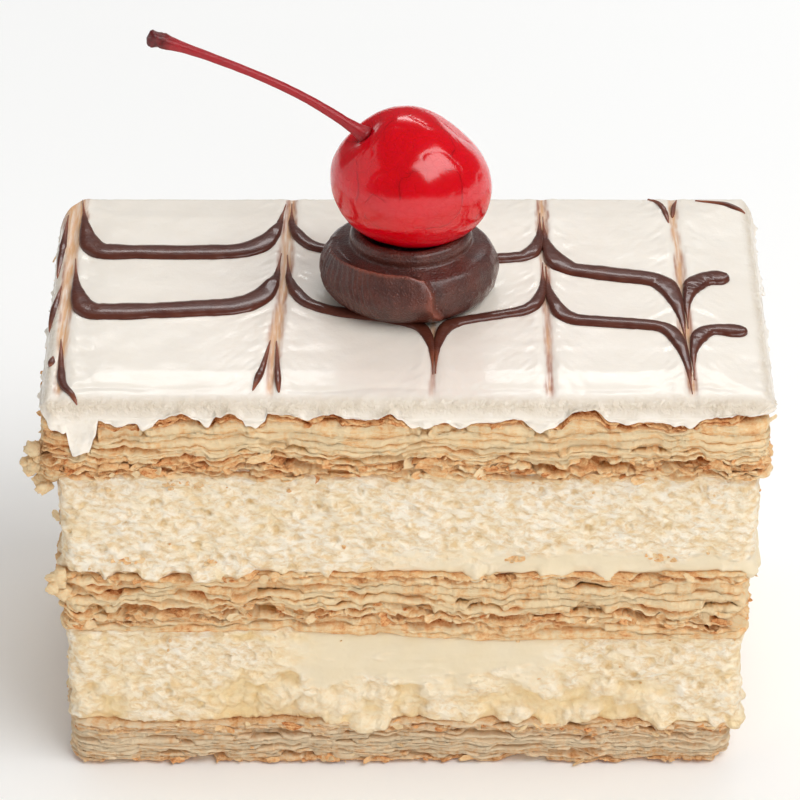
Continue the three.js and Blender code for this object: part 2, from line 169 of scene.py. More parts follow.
def cells(points: np.ndarray, size: float, seed: int) -> np.ndarray:
    """Distance to the nearest of many scattered centres, as in bubbles or curds.

    Args:
        points: Places in millimetres, of shape (..., 3).
        size: Mean spacing of the centres, in millimetres.
        seed: Which scatter to use.

    Returns:
        Distances as a share of size, of shape (...).
    """
    flat = np.asarray(points, float).reshape(-1, 3) / size
    cell = np.floor(flat)
    nearest = np.full(len(flat), 9.0)
    for step in np.ndindex(3, 3, 3):
        there = cell + np.array(step) - 1
        away = there + drawn(there, seed, 3) / 1023 - flat
        nearest = np.minimum(nearest, np.sum(away**2, axis=1))
    return np.sqrt(nearest).reshape(np.shape(points)[:-1])


def shards(points: np.ndarray, size: float, seed: int) -> np.ndarray:
    """Straight torn edges with sudden steps between them.

    Args:
        points: Places in millimetres, of shape (n, 3).
        size: Usual width of one straight bit, in millimetres.
        seed: Which edge to use.

    Returns:
        Values from -1 to 1, of shape (n,).
    """
    run = (points[:, 0] + points[:, 1]) / size + 1.2 * noise(points, 2.5 * size, seed)
    cell = np.floor(run)
    start, stop = drawn(np.stack([cell, 0 * cell, 0 * cell], axis=1), seed + 1, 2).T / 511.5 - 1
    return start + (stop - start) * (run - cell)


def ramp(values: np.ndarray, start: float, stop: float) -> np.ndarray:
    """Rises smoothly from 0 at start to 1 at stop."""
    share = np.clip((np.asarray(values, float) - start) / (stop - start), 0, 1)
    return share * share * (3 - 2 * share)


def unit(vectors: np.ndarray) -> np.ndarray:
    """Vectors of length 1 that point the same ways."""
    return vectors / np.linalg.norm(vectors, axis=1)[:, None]


def smoothed(values: np.ndarray, rounds: int) -> np.ndarray:
    """Evens out a row of values or places several times over, with its ends kept."""
    values = values.copy()
    for _ in range(rounds):
        values[1:-1] = (values[:-2] + 2 * values[1:-1] + values[2:]) / 4
    return values


def points_of(mesh: bpy.types.Mesh) -> np.ndarray:
    """Where a mesh's points are, of shape (n, 3)."""
    where = np.empty(len(mesh.vertices) * 3)
    mesh.vertices.foreach_get("co", where)
    return where.reshape(-1, 3)


def store(mesh: bpy.types.Mesh, name: str, values: np.ndarray) -> None:
    """Stores one number at every point of a mesh, for a material to read."""
    mesh.attributes.new(name, "FLOAT", "POINT").data.foreach_set("value", values)


def deselect_all() -> None:
    """Leaves object mode with nothing selected."""
    if bpy.context.object and bpy.context.object.mode != "OBJECT":
        bpy.ops.object.mode_set(mode="OBJECT")
    bpy.ops.object.select_all(action="DESELECT")


def dress(
    piece: bpy.types.Object,
    name: str,
    material: bpy.types.Material,
    node: str | None,
) -> None:
    """Names a finished piece, gives it its material and ties it to the frame.

    Args:
        piece: The piece, at the origin.
        name: What it is called.
        material: Its finish.
        node: The CAD node that it stands for, if any.
    """
    piece.name = name
    piece.data.name = name
    piece.data.materials.clear()
    piece.data.materials.append(material)
    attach(piece, "root")
    if node:
        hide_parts(node)
    triangles = sum(len(face.vertices) - 2 for face in piece.data.polygons)
    log.info("%s: %d triangles", name, triangles)


@dataclass(frozen=True)
class Slice:
    """Sizes of the slice, in millimetres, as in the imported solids. Heights are above the table.

    Attributes:
        length: Left to right along the icing, half way to the back.
        widens: How much further out each end lies at the back than half way.
        depth: Front to back.
        height: Of the icing's face.
        icing_floor: Height of the icing's underside.
        seat: How far the top sheet's own top lies below that.
        top_pastry_floor: Height of the top sheet's underside.
        upper_cream_floor: Height of the upper cream's underside.
        middle_pastry_floor: Height of the middle sheet's underside.
        lower_cream_floor: Height of the lower cream's underside.
        corners: Radii of the upright corners, anticlockwise from the front left one.
    """

    length: float = 105.2
    widens: float = 0.6
    depth: float = 64.5
    height: float = 62.3
    icing_floor: float = 58.9
    seat: float = 0.3
    top_pastry_floor: float = 49.8
    upper_cream_floor: float = 33.3
    middle_pastry_floor: float = 22.2
    lower_cream_floor: float = 7.2
    corners: tuple[float, float, float, float] = (3.0, 3.0, 5.0, 9.0)

    def wave(self, points: np.ndarray) -> np.ndarray:
        """How far the layers at some places roll up or down, the same for all neighbours."""
        squashed = points * np.array([1, 1, 0.7])
        x, y, z = points.T
        sunk = np.exp(-(((z - self.middle_pastry_floor) / 3) ** 2)) * ramp(-x, -15, 25) * ramp(-y, 5, 28)
        rolled = 0.35 * noise(squashed, 15, 1) + 0.2 * noise(squashed, 5.5, 2) + 0.25 * noise(squashed, 2, 3)
        return rolled + 1.5 * sunk


SLICE = Slice()


@dataclass(frozen=True)
class Outline:
    """The outline of one layer as seen from above, anticlockwise from the front left corner.

    Attributes:
        length: Left to right, half way to the back.
        shift: Where its middle lies along X.
    """

    length: float
    shift: float = 0.0

    def stations(self, count: int, ease: float = 0.5) -> tuple[np.ndarray, np.ndarray]:
        """Points on the outline, closest together on the front.

        Args:
            count: How many.
            ease: How close together they are elsewhere, as a share of the front's.

        Returns:
            The points and the ways out, both of shape (count, 2).
        """
        ends = [(-1, -1), (1, -1), (1, 1), (-1, 1)]
        loop = []
        for (across, along), radius, start in zip(ends, SLICE.corners, (180, 270, 0, 90)):
            half = self.length / 2 + SLICE.widens * along
            middle = np.array([across * (half - radius), along * (SLICE.depth / 2 - radius)])
            turns = np.radians(np.linspace(start, start + 90, 25))
            loop.append(middle + radius * np.stack([np.cos(turns), np.sin(turns)], axis=1))
        loop = np.concatenate(loop)
        loop = np.concatenate([loop, loop[:1]])
        steps = np.linalg.norm(np.diff(loop, axis=0), axis=1)
        ahead = (loop[1:, 1] + loop[:-1, 1]) / 2 < 1.5 - SLICE.depth / 2
        run = np.concatenate([[0], np.cumsum(steps * np.where(ahead, 1, ease))])
        at = np.linspace(0, run[-1], count, endpoint=False)
        points = np.stack([np.interp(at, run, loop[:, k]) for k in (0, 1)], axis=1)
        ways = unit(np.roll(points, -1, axis=0) - np.roll(points, 1, axis=0))
        return points + [self.shift, 0], np.stack([ways[:, 1], -ways[:, 0]], axis=1)

    def ring(self, base: np.ndarray, ways: np.ndarray, out: Numbers, z: Numbers) -> np.ndarray:
        """One ring of points round the layer.

        Args:
            base: Points on the outline.
            ways: The ways out at them.
            out: How far out of the outline each lies. What lies more than 2 mm inside shrinks evenly.
            z: Their heights.

        Returns:
            Points of shape (count, 3).
        """
        out = np.broadcast_to(out, len(base))[:, None]
        shrink = 1 + np.minimum(out + 2, 0) * np.array([2 / self.length, 2 / SLICE.depth])
        flat = (base + ways * np.maximum(out, -2) - [self.shift, 0]) * shrink + [self.shift, 0]
        return np.column_stack([flat, np.broadcast_to(z, len(base))])


class Shell:
    """A closed skin that starts as a drum: a point on top, rings of points, and a point underneath."""

    def __init__(self, segments: int, rings: int) -> None:
        """Adds the drum and cuts its wall into rings.

        Args:
            segments: Points in a ring.
            rings: Rings between the two end points.
        """
        deselect_all()
        bpy.ops.mesh.primitive_cylinder_add(vertices=segments, radius=1, depth=2, end_fill_type="TRIFAN")
        self.piece = bpy.context.active_object
        mesh = self.piece.data
        ends = np.empty(len(mesh.edges) * 2, np.int32)
        mesh.edges.foreach_get("vertices", ends)
        upright = points_of(mesh)[ends.reshape(-1, 2), 2]
        bpy.context.tool_settings.mesh_select_mode = (False, True, False)
        mesh.vertices.foreach_set("select", np.zeros(len(mesh.vertices), bool))
        mesh.polygons.foreach_set("select", np.zeros(len(mesh.polygons), bool))
        mesh.edges.foreach_set("select", np.abs(upright[:, 0] - upright[:, 1]) > 1)
        bpy.ops.object.mode_set(mode="EDIT")
        bpy.ops.mesh.subdivide(number_cuts=rings - 2)
        bpy.ops.object.mode_set(mode="OBJECT")
        x, y, z = points_of(mesh).T
        row = np.rint((1 - z) / 2 * (rings - 1)).astype(int)
        column = np.rint(np.arctan2(-x, y) / (2 * math.pi) * segments).astype(int) % segments
        self.order = np.where(np.hypot(x, y) < 0.5, (z < 0).astype(int), 2 + row * segments + column)

    def spread(self, rings: np.ndarray, top: Numbers, under: Numbers) -> np.ndarray:
        """Puts values given by ring into the mesh's own order."""
        width = rings.shape[2:]
        ends = np.stack([np.broadcast_to(top, width), np.broadcast_to(under, width)])
        return np.concatenate([ends, rings.reshape(-1, *width)])[self.order]

    def place(self, rings: np.ndarray, top: np.ndarray, under: np.ndarray) -> Shell:
        """Moves every point.

        Args:
            rings: Millimetres, of shape (rings, segments, 3).
            top: Where the top point goes.
            under: Where the underside's point goes.

        Returns:
            This shell.
        """
        spots = self.spread(np.asarray(rings), np.asarray(top), np.asarray(under)) * MM
        self.piece.data.vertices.foreach_set("co", spots.ravel())
        self.piece.data.update()
        bpy.ops.object.shade_smooth()
        return self

    def paint(self, name: str, rings: np.ndarray, top: float, under: float) -> Shell:
        """Stores one number at every point, for a material to read."""
        store(self.piece.data, name, self.spread(np.asarray(rings, float), top, under))
        return self


def joined(shells: list[Shell]) -> bpy.types.Object:
    """Makes one piece of several shells and returns it."""
    deselect_all()
    for shell in shells:
        shell.piece.select_set(True)
    bpy.context.view_layer.objects.active = shells[0].piece
    bpy.ops.object.join()
    return bpy.context.active_object


def add_node(tree: Tree, kind: str, settings: dict[str | int, Any], output: str | int = 0) -> Socket:
    """Adds a shader node with its settings and links.

    Args:
        tree: The material's nodes.
        kind: The node's type, without the words that every type starts with.
        settings: By input or property name, a value, a colour in hex, or another node's output to link.
            "stops" is a colour ramp's row of places, each with a colour in hex or a grey.
        output: Which of its outputs is wanted.

    Returns:
        That output.
    """
    node = tree.nodes.new(f"ShaderNode{kind}")
    for key, value in settings.items():
        if isinstance(value, bpy.types.NodeSocket):
            tree.links.new(value, node.inputs[key])
        elif key == "stops":
            while len(node.color_ramp.elements) < len(value):
                node.color_ramp.elements.new(0.5)
            for element, (place, colour) in zip(node.color_ramp.elements, value):
                element.position = place
                element.color = linear(colour) if isinstance(colour, str) else (colour, colour, colour, 1)
        elif isinstance(key, int) or key in node.inputs:
            node.inputs[key].default_value = linear(value) if isinstance(value, str) else value
        else:
            setattr(node, key, value)
    return node.outputs[output]


@dataclass(frozen=True)
class Finish:
    """What every finish has.

    Attributes:
        name: What it is called.
        roughness: Of the surface under its bumps.
        shine: The reflection's strength, as the shader's specular level.
        soft: How far light spreads under the surface, in millimetres.
        spread: How far red, green and blue light go, as shares of that.
        coat: How much of a clear gloss lies over it.
        dull: How rough that gloss is.
        coat_index: How strongly that gloss refracts.
    """

    name: str
    roughness: float
    shine: float = 0.5
    soft: float = 0.0
    spread: tuple[float, float, float] = (1.0, 1.0, 1.0)
    coat: float = 0.0
    dull: float = 0.03
    coat_index: float = 1.5

    def patterns(self, tree: Tree, place: Socket) -> tuple[Socket, Heights]:
        """Adds what this finish alone has.

        Args:
            tree: The material's nodes.
            place: Places on the piece in millimetres.

        Returns:
            Its colour, and the patterns that raise the surface one over another, each with its height in
            millimetres.
        """
        raise NotImplementedError

    def material(self) -> bpy.types.Material:
        """Builds the material."""
        material = bpy.data.materials.new(self.name)
        material.use_nodes = True
        tree = material.node_tree
        on_piece = add_node(tree, "TexCoord", {}, "Object")
        place = add_node(tree, "Mapping", {"Vector": on_piece, "Scale": (1 / MM,) * 3})
        colour, heights = self.patterns(tree, place)
        bumps = {}
        for pattern, height in heights:
            raised = {"Height": pattern, "Distance": height * MM, "Strength": 1.0}
            bumps = {"Normal": add_node(tree, "Bump", raised | bumps)}
        shader = tree.nodes["Principled BSDF"]
        for name, source in ({"Base Color": colour} | bumps).items():
            tree.links.new(source, shader.inputs[name])
        values = {"Roughness": self.roughness, "Specular IOR Level": self.shine}
        values |= {"Coat Weight": self.coat, "Coat Roughness": self.dull, "Coat IOR": self.coat_index}
        if self.soft:
            values |= {"Subsurface Weight": 1, "Subsurface Scale": self.soft * MM}
            values |= {"Subsurface Radius": self.spread}
        for name, value in values.items():
            shader.inputs[name].default_value = value
        return material


@dataclass(frozen=True)
class BakedPuffPastry(Finish):
    """Laminated dough baked dry: dull, pale in its cut leaves, golden to brown where it crisped.

    Its leaves are 0.2 to 1 mm thick, so the fine pattern is stretched flat, and a crumb of 0.5 mm breaks it
    up. The colour follows the point values called bake, from 0 for pale dough to 1 for the darkest, which the
    crevices get as painted shade.
    """

    stops: tuple[tuple[float, str], ...] = (
        (0.0, "#f1d7ac"),
        (0.2, "#f0c792"),
        (0.42, "#e6aa70"),
        (0.68, "#c0713a"),
        (1.0, "#632a12"),
    )

    def patterns(self, tree: Tree, place: Socket) -> tuple[Socket, Heights]:
        """Adds stretched leaf lines, crumb, and a colour that both break up."""
        bake = add_node(tree, "Attribute", {"attribute_name": "bake"}, "Fac")
        flat = add_node(tree, "Mapping", {"Vector": place, "Scale": (0.5, 0.5, 3.0)})
        torn = {"Scale": 1.0, "Detail": 4.0, "Roughness": 0.65, "Distortion": 0.4}
        lines = add_node(tree, "TexNoise", {"Vector": flat} | torn)
        crumb = add_node(tree, "TexNoise", {"Vector": place, "Scale": 2.0, "Detail": 4.0, "Roughness": 0.7})
        both = add_node(tree, "Math", {"operation": "ADD", 0: lines, 1: crumb})
        uneven = add_node(tree, "Math", {"operation": "SUBTRACT", 0: both, 1: 1.0})
        most = add_node(tree, "Math", {"operation": "MULTIPLY_ADD", 0: bake, 1: 1.4, 2: 0.5})
        total = add_node(tree, "Math", {"operation": "MULTIPLY_ADD", 0: uneven, 1: most, 2: bake})
        colour = add_node(tree, "ValToRGB", {"Fac": total, "stops": self.stops})
        return colour, ((lines, 0.2), (crumb, 0.3))


@dataclass(frozen=True)
class CustardCream(Finish):
    """Custard folded with whipped cream: satin, opaque and pale ivory.

    The knife tears it into lumps of about 1 mm, dragged down to the right. The colour goes from pale to yolk
    yellow by the point values called rich, which also hold a yellow painted shade where the face lies deep.
    The hollows between lumps are painted a little darker as shade, and what it smears sleek is a little darker
    too.
    """

    pale: str = "#fff4e0"
    rich: str = "#f9dca2"
    hollow_shade: str = "#eac68e"
    sleek: str = "#dccbaa"

    def patterns(self, tree: Tree, place: Socket) -> tuple[Socket, Heights]:
        """Adds patches of yellow, dragged lumps, and painted shade in their hollows."""
        # The rich values hold the yolk's yellow and a yellow painted shade in deep hollows
        rich = add_node(tree, "Attribute", {"attribute_name": "rich"}, "Fac")
        smooth = add_node(tree, "Attribute", {"attribute_name": "smooth"}, "Fac")
        patch = add_node(tree, "TexNoise", {"Vector": place, "Scale": 0.28, "Detail": 3.0})
        dragged = {"Vector": place, "Scale": (0.75, 1.0, 1.25), "Rotation": (0.0, -0.6, 0.0)}
        torn = {"Scale": 0.95, "Detail": 5.0, "Roughness": 0.63, "Distortion": 0.3}
        lumps = add_node(tree, "TexNoise", {"Vector": add_node(tree, "Mapping", dragged)} | torn)
        amount = add_node(tree, "Math", {"operation": "MULTIPLY_ADD", 0: patch, 1: 0.8, 2: -0.4})
        yellow = add_node(tree, "Math", {"operation": "ADD", 0: rich, 1: amount, "use_clamp": True})
        body = add_node(tree, "Mix", {"data_type": "RGBA", 0: yellow, 6: self.pale, 7: self.rich}, 2)
        slick = add_node(tree, "Math", {"operation": "MULTIPLY", 0: smooth, 1: 0.8})
        smeared = add_node(tree, "Mix", {"data_type": "RGBA", 0: slick, 6: body, 7: self.sleek}, 2)
        rough = add_node(tree, "Math", {"operation": "SUBTRACT", 0: 1.0, 1: smooth})
        # Painted shade: where the lumps dip low and the cream is not smeared, the colour goes towards the pore
        # tint
        deep = add_node(tree, "ValToRGB", {"Fac": lumps, "stops": ((0.36, 0.8), (0.57, 0.0))})
        hollow_shade_mask = add_node(tree, "Math", {"operation": "MULTIPLY", 0: deep, 1: rough})
        colour = add_node(tree, "Mix", {"data_type": "RGBA", 0: hollow_shade_mask, 6: smeared, 7: self.hollow_shade}, 2)
        raised = add_node(tree, "Math", {"operation": "MULTIPLY", 0: lumps, 1: rough})
        return colour, ((raised, 0.85), (patch, 0.4))


@dataclass(frozen=True)
class Fondant(Finish):
    """Sugar icing poured and set: white, smooth, with a soft gloss and light that sinks a little.

    Each comb mark is a tan streak about 1 mm wide with thin red-brown edges, where the comb has drawn
    chocolate through the sugar. The rounded rim is lumpier than the face, and painted a little greyer as
    shade.
    """

    spread: tuple[float, float, float] = (0.8, 0.8, 0.8)
    coat: float = 0.4
    dull: float = 0.13
    white: str = "#f7f0e6"
    rim_shade: str = "#dccfbc"
    streak: str = "#dcae82"
    edge: str = "#9c5638"

    def patterns(self, tree: Tree, place: Socket) -> tuple[Socket, Heights]:
        """Adds clouded white, painted shade on the rim, the comb marks broken along their length, and a lumpy
        rim.
        """
        rim = add_node(tree, "Attribute", {"attribute_name": "rim"}, "Fac")
        patch = add_node(tree, "TexNoise", {"Vector": place, "Scale": 0.09, "Detail": 3.0})
        # The rim mask turns the white towards the greyer tint as painted shade; the noise is the icing's own
        # uneven tone
        cloudy = add_node(tree, "Math", {"operation": "MULTIPLY_ADD", 0: patch, 1: 0.3, 2: rim})
        colour = add_node(tree, "Mix", {"data_type": "RGBA", 0: cloudy, 6: self.white, 7: self.rim_shade}, 2)
        combed = add_node(tree, "Mapping", {"Vector": place, "Scale": (2.2, 0.16, 1.0)})
        strands = add_node(tree, "TexNoise", {"Vector": combed, "Scale": 1.0, "Detail": 3.0})
        broken = add_node(tree, "ValToRGB", {"Fac": strands, "stops": ((0.3, 0.25), (0.55, 1.0))})
        for name, tint in (("streak", self.streak), ("edge", self.edge)):
            mark = add_node(tree, "Attribute", {"attribute_name": name}, "Fac")
            drawn = add_node(tree, "Math", {"operation": "MULTIPLY", 0: mark, 1: broken})
            colour = add_node(tree, "Mix", {"data_type": "RGBA", 0: drawn, 6: colour, 7: tint}, 2)
        ripple = add_node(tree, "TexNoise", {"Vector": place, "Scale": 0.5, "Detail": 4.0, "Roughness": 0.55})
        fleck = add_node(tree, "TexNoise", {"Vector": place, "Scale": 0.9, "Detail": 3.0, "Roughness": 0.6})
        lumpy = add_node(tree, "Math", {"operation": "MULTIPLY", 0: fleck, 1: rim})
        return colour, ((ripple, 0.08), (fleck, 0.03), (lumpy, 0.8))


@dataclass(frozen=True)
class SetChocolate(Finish):
    """Chocolate, as a glossy glaze or a satin ganache, near black-brown with fine pale specks of fat.

    Attributes:
        dark: The body's colour.
        light: The colour where it is scraped, bloomed or thin, and of the painted highlights on the rosette's
            seam and lip.
        speck: How strong the pale specks are.
        grain: How much the finest grain stands out.
    """

    dark: str = "#411a14"
    light: str = "#96563c"
    speck: float = 0.05
    grain: float = 0.03

    def patterns(self, tree: Tree, place: Socket) -> tuple[Socket, Heights]:
        """Adds bloom in patches and specks, more of the pale colour by the point values called worn, which
        mark thin ends and painted highlights, and a fine grain.
        """
        worn = add_node(tree, "Attribute", {"attribute_name": "worn"}, "Fac")
        patch = add_node(tree, "TexNoise", {"Vector": place, "Scale": 0.5, "Detail": 3.0})
        fine = add_node(tree, "TexNoise", {"Vector": place, "Scale": 3.2, "Detail": 2.0})
        fat = add_node(tree, "ValToRGB", {"Fac": fine, "stops": ((0.66, 0.0), (0.74, 1.0))})
        specks = add_node(tree, "Math", {"operation": "MULTIPLY", 0: fat, 1: self.speck})
        cloudy = add_node(tree, "Math", {"operation": "MULTIPLY_ADD", 0: patch, 1: 0.35, 2: specks})
        amount = add_node(tree, "Math", {"operation": "ADD", 0: cloudy, 1: worn, "use_clamp": True})
        colour = add_node(tree, "Mix", {"data_type": "RGBA", 0: amount, 6: self.dark, 7: self.light}, 2)
        return colour, ((patch, 0.2), (fine, self.grain))


@dataclass(frozen=True)
class SyrupedCherry(Finish):
    """A cherry preserved in syrup: clear bright red under a wet gloss, with crackled skin.

    Attributes:
        deep: The darker of its reds.
        bright: The brighter of its reds.
        crease_shade: The colour of the painted shade down in a crease.
        swirl: How far the creases wander, in millimetres.
        creases: The skin's curved creases, each where a ball would cut it: the ball's centre and radius.
    """

    spread: tuple[float, float, float] = (1.0, 0.12, 0.1)
    coat: float = 1.0
    dull: float = 0.17
    coat_index: float = 1.63
    deep: str = "#c2000c"
    bright: str = "#de0018"
    crease_shade: str = "#6e000a"
    swirl: float = 3.0
    creases: tuple[tuple[tuple[float, float, float], float], ...] = (
        ((3.5, -9.7, 82.2), 5.0),
        ((-10.4, -1.3, 81.6), 6.6),
        ((1.7, -4.5, 89.6), 5.4),
        ((10.1, -3.7, 76.7), 1.6),
        ((-4.0, -9.5, 80.0), 2.6),
        ((6.0, 9.0, 80.0), 5.5),
    )

    def patterns(self, tree: Tree, place: Socket) -> tuple[Socket, Heights]:
        """Adds two reds, a crackle of 1.3 mm, dimples, and creases with painted shade that fade in and out."""
        waves = add_node(tree, "TexNoise", {"Vector": place, "Scale": 0.3, "Detail": 2.0}, "Color")
        bent = {"operation": "MULTIPLY_ADD", 0: waves, 1: (self.swirl,) * 3, 2: place}
        wavy = add_node(tree, "VectorMath", bent)
        faint = add_node(tree, "TexNoise", {"Vector": place, "Scale": 0.22, "Detail": 2.0})
        fading = add_node(tree, "ValToRGB", {"Fac": faint, "stops": ((0.42, 0.0), (0.6, 1.0))})
        flat = 1.0
        for centre, radius in self.creases:
            shifted = tuple(value + self.swirl / 2 for value in centre)
            away = add_node(tree, "VectorMath", {"operation": "DISTANCE", 0: wavy, 1: shifted}, "Value")
            off = add_node(tree, "Math", {"operation": "SUBTRACT", 0: away, 1: radius})
            near = add_node(tree, "Math", {"operation": "ABSOLUTE", 0: off})
            beside = {"operation": "MULTIPLY_ADD", 0: near, 1: 4.5, 2: fading, "use_clamp": True}
            lowest = {"operation": "MINIMUM", 0: add_node(tree, "Math", beside), 1: flat}
            flat = add_node(tree, "Math", lowest)
        patch = add_node(tree, "TexNoise", {"Vector": place, "Scale": 0.16, "Detail": 2.0})
        red = add_node(tree, "Mix", {"data_type": "RGBA", 0: patch, 6: self.deep, 7: self.bright}, 2)
        # Painted shade: the skin goes towards the fold colour down in each crease
        painted_crease_shade = add_node(tree, "Math", {"operation": "MULTIPLY_ADD", 0: flat, 1: -0.3, 2: 0.3})
        colour = add_node(tree, "Mix", {"data_type": "RGBA", 0: painted_crease_shade, 6: red, 7: self.crease_shade}, 2)
        dimple = add_node(tree, "TexNoise", {"Vector": place, "Scale": 1.6, "Detail": 4.0})
        skin = add_node(tree, "TexVoronoi", {"Vector": place, "Scale": 0.75, "feature": "DISTANCE_TO_EDGE"})
        crackle = add_node(tree, "ValToRGB", {"Fac": skin, "stops": ((0.0, 0.0), (0.12, 1.0))})
        return colour, ((dimple, 0.12), (crackle, 0.07), (flat, 0.3))


@dataclass(frozen=True)
class DyedStem(Finish):
    """A cherry's woody stem dyed by the syrup: dark red, fibrous, browner at its torn end."""

    red: str = "#a3101b"
    brown: str = "#42100f"

    def patterns(self, tree: Tree, place: Socket) -> tuple[Socket, Heights]:
        """Adds fibres, and a red that goes brown by the point values called end."""
        end = add_node(tree, "Attribute", {"attribute_name": "end"}, "Fac")
        fibre = add_node(tree, "TexNoise", {"Vector": place, "Scale": 1.6, "Detail": 4.0, "Roughness": 0.7})
        uneven = add_node(tree, "Math", {"operation": "MULTIPLY_ADD", 0: fibre, 1: 0.9, 2: -0.4})
        amount = add_node(tree, "Math", {"operation": "ADD", 0: uneven, 1: end, "use_clamp": True})
        colour = add_node(tree, "Mix", {"data_type": "RGBA", 0: amount, 6: self.red, 7: self.brown}, 2)
        return colour, ((fibre, 0.15),)


@dataclass(frozen=True)
class Leaves:
    """Neighbouring leaves of a sheet of puff pastry that baked alike.

    Attributes:
        count: How many.
        thick: Usual thickness of one.
        gap: Usual crevice under each at the cut face.
        pocket: How much wider a crevice is where the leaves puffed apart.
        deep: How far in an open crevice goes.
        reach: How far the edges stand out of the cut face on the whole.
        ragged: How unevenly the edges are torn.
        chipped: How much of that is straight chips, where the rest is soft waves.
        droop: How far the tips hang. They rear up where it is negative.
        bake: How brown the edges are, from 0 to 1.
        shade: How dark the painted shade down in the crevices is, from 0 to 1.
    """

    count: int
    thick: float
    gap: float
    pocket: float
    deep: float
    reach: float
    ragged: float
    chipped: float
    droop: float
    bake: float
    shade: float


@dataclass
class PastrySheet:
    """A sheet of puff pastry: a skin that goes in and out round every leaf's torn edge.

    Attributes:
        place: Which sheet it is.
        floor: Height of its underside.
        ceiling: Height of its top.
        outline: Its outline.
        kinds: Its leaves from the top down.
        curl: How far its lowest edge stands off the table.
        columns: Points round it.
        inner: How far out the rings on its top and underside lie, the innermost first.
        mound: How far the top sheet swells up under the icing at most.
        leaves: The kind of each leaf, from the top down.
        base: Points on the outline.
        ways: The ways out at them.
        upper: Height of each leaf's upper side, all round.
        lower: Height of each leaf's lower side, all round.
        out: How far each leaf's edge stands out, all round.
    """

    place: Pastry
    floor: float
    ceiling: float
    outline: Outline
    kinds: tuple[Leaves, ...]
    curl: float = 0.0
    columns: int = 1150
    inner: tuple[float, float] = (-7.0, -2.6)
    mound: float = 3.6
    leaves: list[Leaves] = field(init=False)
    base: np.ndarray = field(init=False)
    ways: np.ndarray = field(init=False)
    upper: np.ndarray = field(init=False)
    lower: np.ndarray = field(init=False)
    out: np.ndarray = field(init=False)

    def __post_init__(self) -> None:
        """Works out where the leaves lie."""
        self.leaves = [kind for kind in self.kinds for _ in range(kind.count)]
        self.base, self.ways = self.outline.stations(self.columns)
        top = self.ceiling + SLICE.wave(self.at(self.ceiling))
        low = self.floor + SLICE.wave(self.at(self.floor))
        if self.curl:
            low = self.curl * np.clip(1 + 1.1 * self.noise(9, 1) + 0.6 * self.noise(2.5, 2), 0.05, 3)
        thick = np.stack([kind.thick * self.swell(10 * k) for k, kind in enumerate(self.leaves)])
        gap = np.stack([self.gap(kind, 10 * k + 5) for k, kind in enumerate(self.leaves)])
        gap[-1] = 0
        thick[1:] = np.maximum(thick[1:] - 0.7 * gap[:-1], 0.35 * thick[1:])
        scale = (top - low) / (thick + gap).sum(axis=0)
        ends = top - scale * np.cumsum(thick + gap, axis=0)
        self.upper = np.vstack([top, ends[:-1]])
        self.lower = self.upper - scale * thick
        if self.place is Pastry.TOP:
            # Along the front the upper leaves swell up to the icing's edge, wherever that arches
            hung = Icing().hang(self.at(0))
            front = ramp(-self.base[:, 1], 22, 30)
            mounds = np.clip(SLICE.icing_floor + Icing.shy - hung - top, 0, self.mound) * front
            for k in range(3):
                self.upper[k] += mounds * (1 - 0.13 * k)
                self.lower[k] += mounds * (0.96 - 0.13 * k)
            self.upper[3] += 0.66 * mounds
        self.out = np.stack([self.edge(kind, k) for k, kind in enumerate(self.leaves)])
        if self.place is Pastry.TOP:
            # What the icing's edge covers is tucked in behind it
            covered = hung - (self.ceiling + SLICE.seat - self.upper)
            tucked = np.where(hung > 0.2, self.out - 1.6, np.clip(self.out, -0.75, -0.35))
            part = ramp(covered, -0.35, 0.1) * (self.out > -1) * front
            self.out += (tucked - self.out) * part
            self.out[:3] -= 0.8 * ramp(np.abs(self.base[:, 0]), 46, 50)

    def at(self, z: Numbers) -> np.ndarray:
        """Points of the outline at one height."""
        return np.column_stack([self.base, np.broadcast_to(z, self.columns)])

    def noise(self, size: float, seed: int) -> np.ndarray:
        """Noise round the outline, different for every seed and sheet."""
        return noise(self.at(0), size, 1000 * list(Pastry).index(self.place) + seed)

    def swell(self, seed: int) -> np.ndarray:
        """How much thicker or thinner than usual one leaf is, all round."""
        slow = 0.95 * self.noise(12, seed + 300) + 0.45 * self.noise(5, seed + 302)
        return np.clip(1 + slow + 0.2 * self.noise(2, seed + 301), 0.15, 2.6)

    def gap(self, kind: Leaves, seed: int) -> np.ndarray:
        """Height of the crevice under one leaf, all round."""
        fine = self.noise(4.5, seed + 300) + 0.4 * self.noise(1.2, seed + 301)
        puffed = self.noise(9, seed + 302) + 0.25 * self.noise(2, seed + 303)
        loose = 0.1 + 1.7 * ramp(self.base[:, 0], 0, 30) if self.place is Pastry.BOTTOM else 1.0
        usual = kind.gap * (0.04 + 1.5 * ramp(fine, -0.05, 0.4))
        return usual + kind.pocket * loose * ramp(puffed, 0.2, 0.5)

    def edge(self, kind: Leaves, number: int) -> np.ndarray:
        """How far one leaf's torn edge stands out of the cut face, all round."""
        seed = 600 + 10 * number
        at = self.at(self.upper[number])
        soft = 0.6 * self.noise(6.5, seed) + 0.4 * self.noise(2, seed + 1) + 0.25 * self.noise(0.75, seed + 2)
        chips = 0.75 * shards(at, 3.6, seed + 3) + 0.25 * shards(at, 1.2, seed + 4)
        chips = chips + 0.1 * shards(at, 0.5, seed + 6)
        torn = 2.1 * kind.ragged * ramp(self.noise(6, seed + 5), 0.2, 0.4)
        face = 0.4 * noise(at * [1, 1, 0.5], 8, 3) + 0.35 * noise(at * [1, 1, 0.6], 2.8, 4)
        jagged = soft * (1 - kind.chipped) + 0.8 * chips * kind.chipped
        return kind.reach + face + kind.ragged * jagged - torn

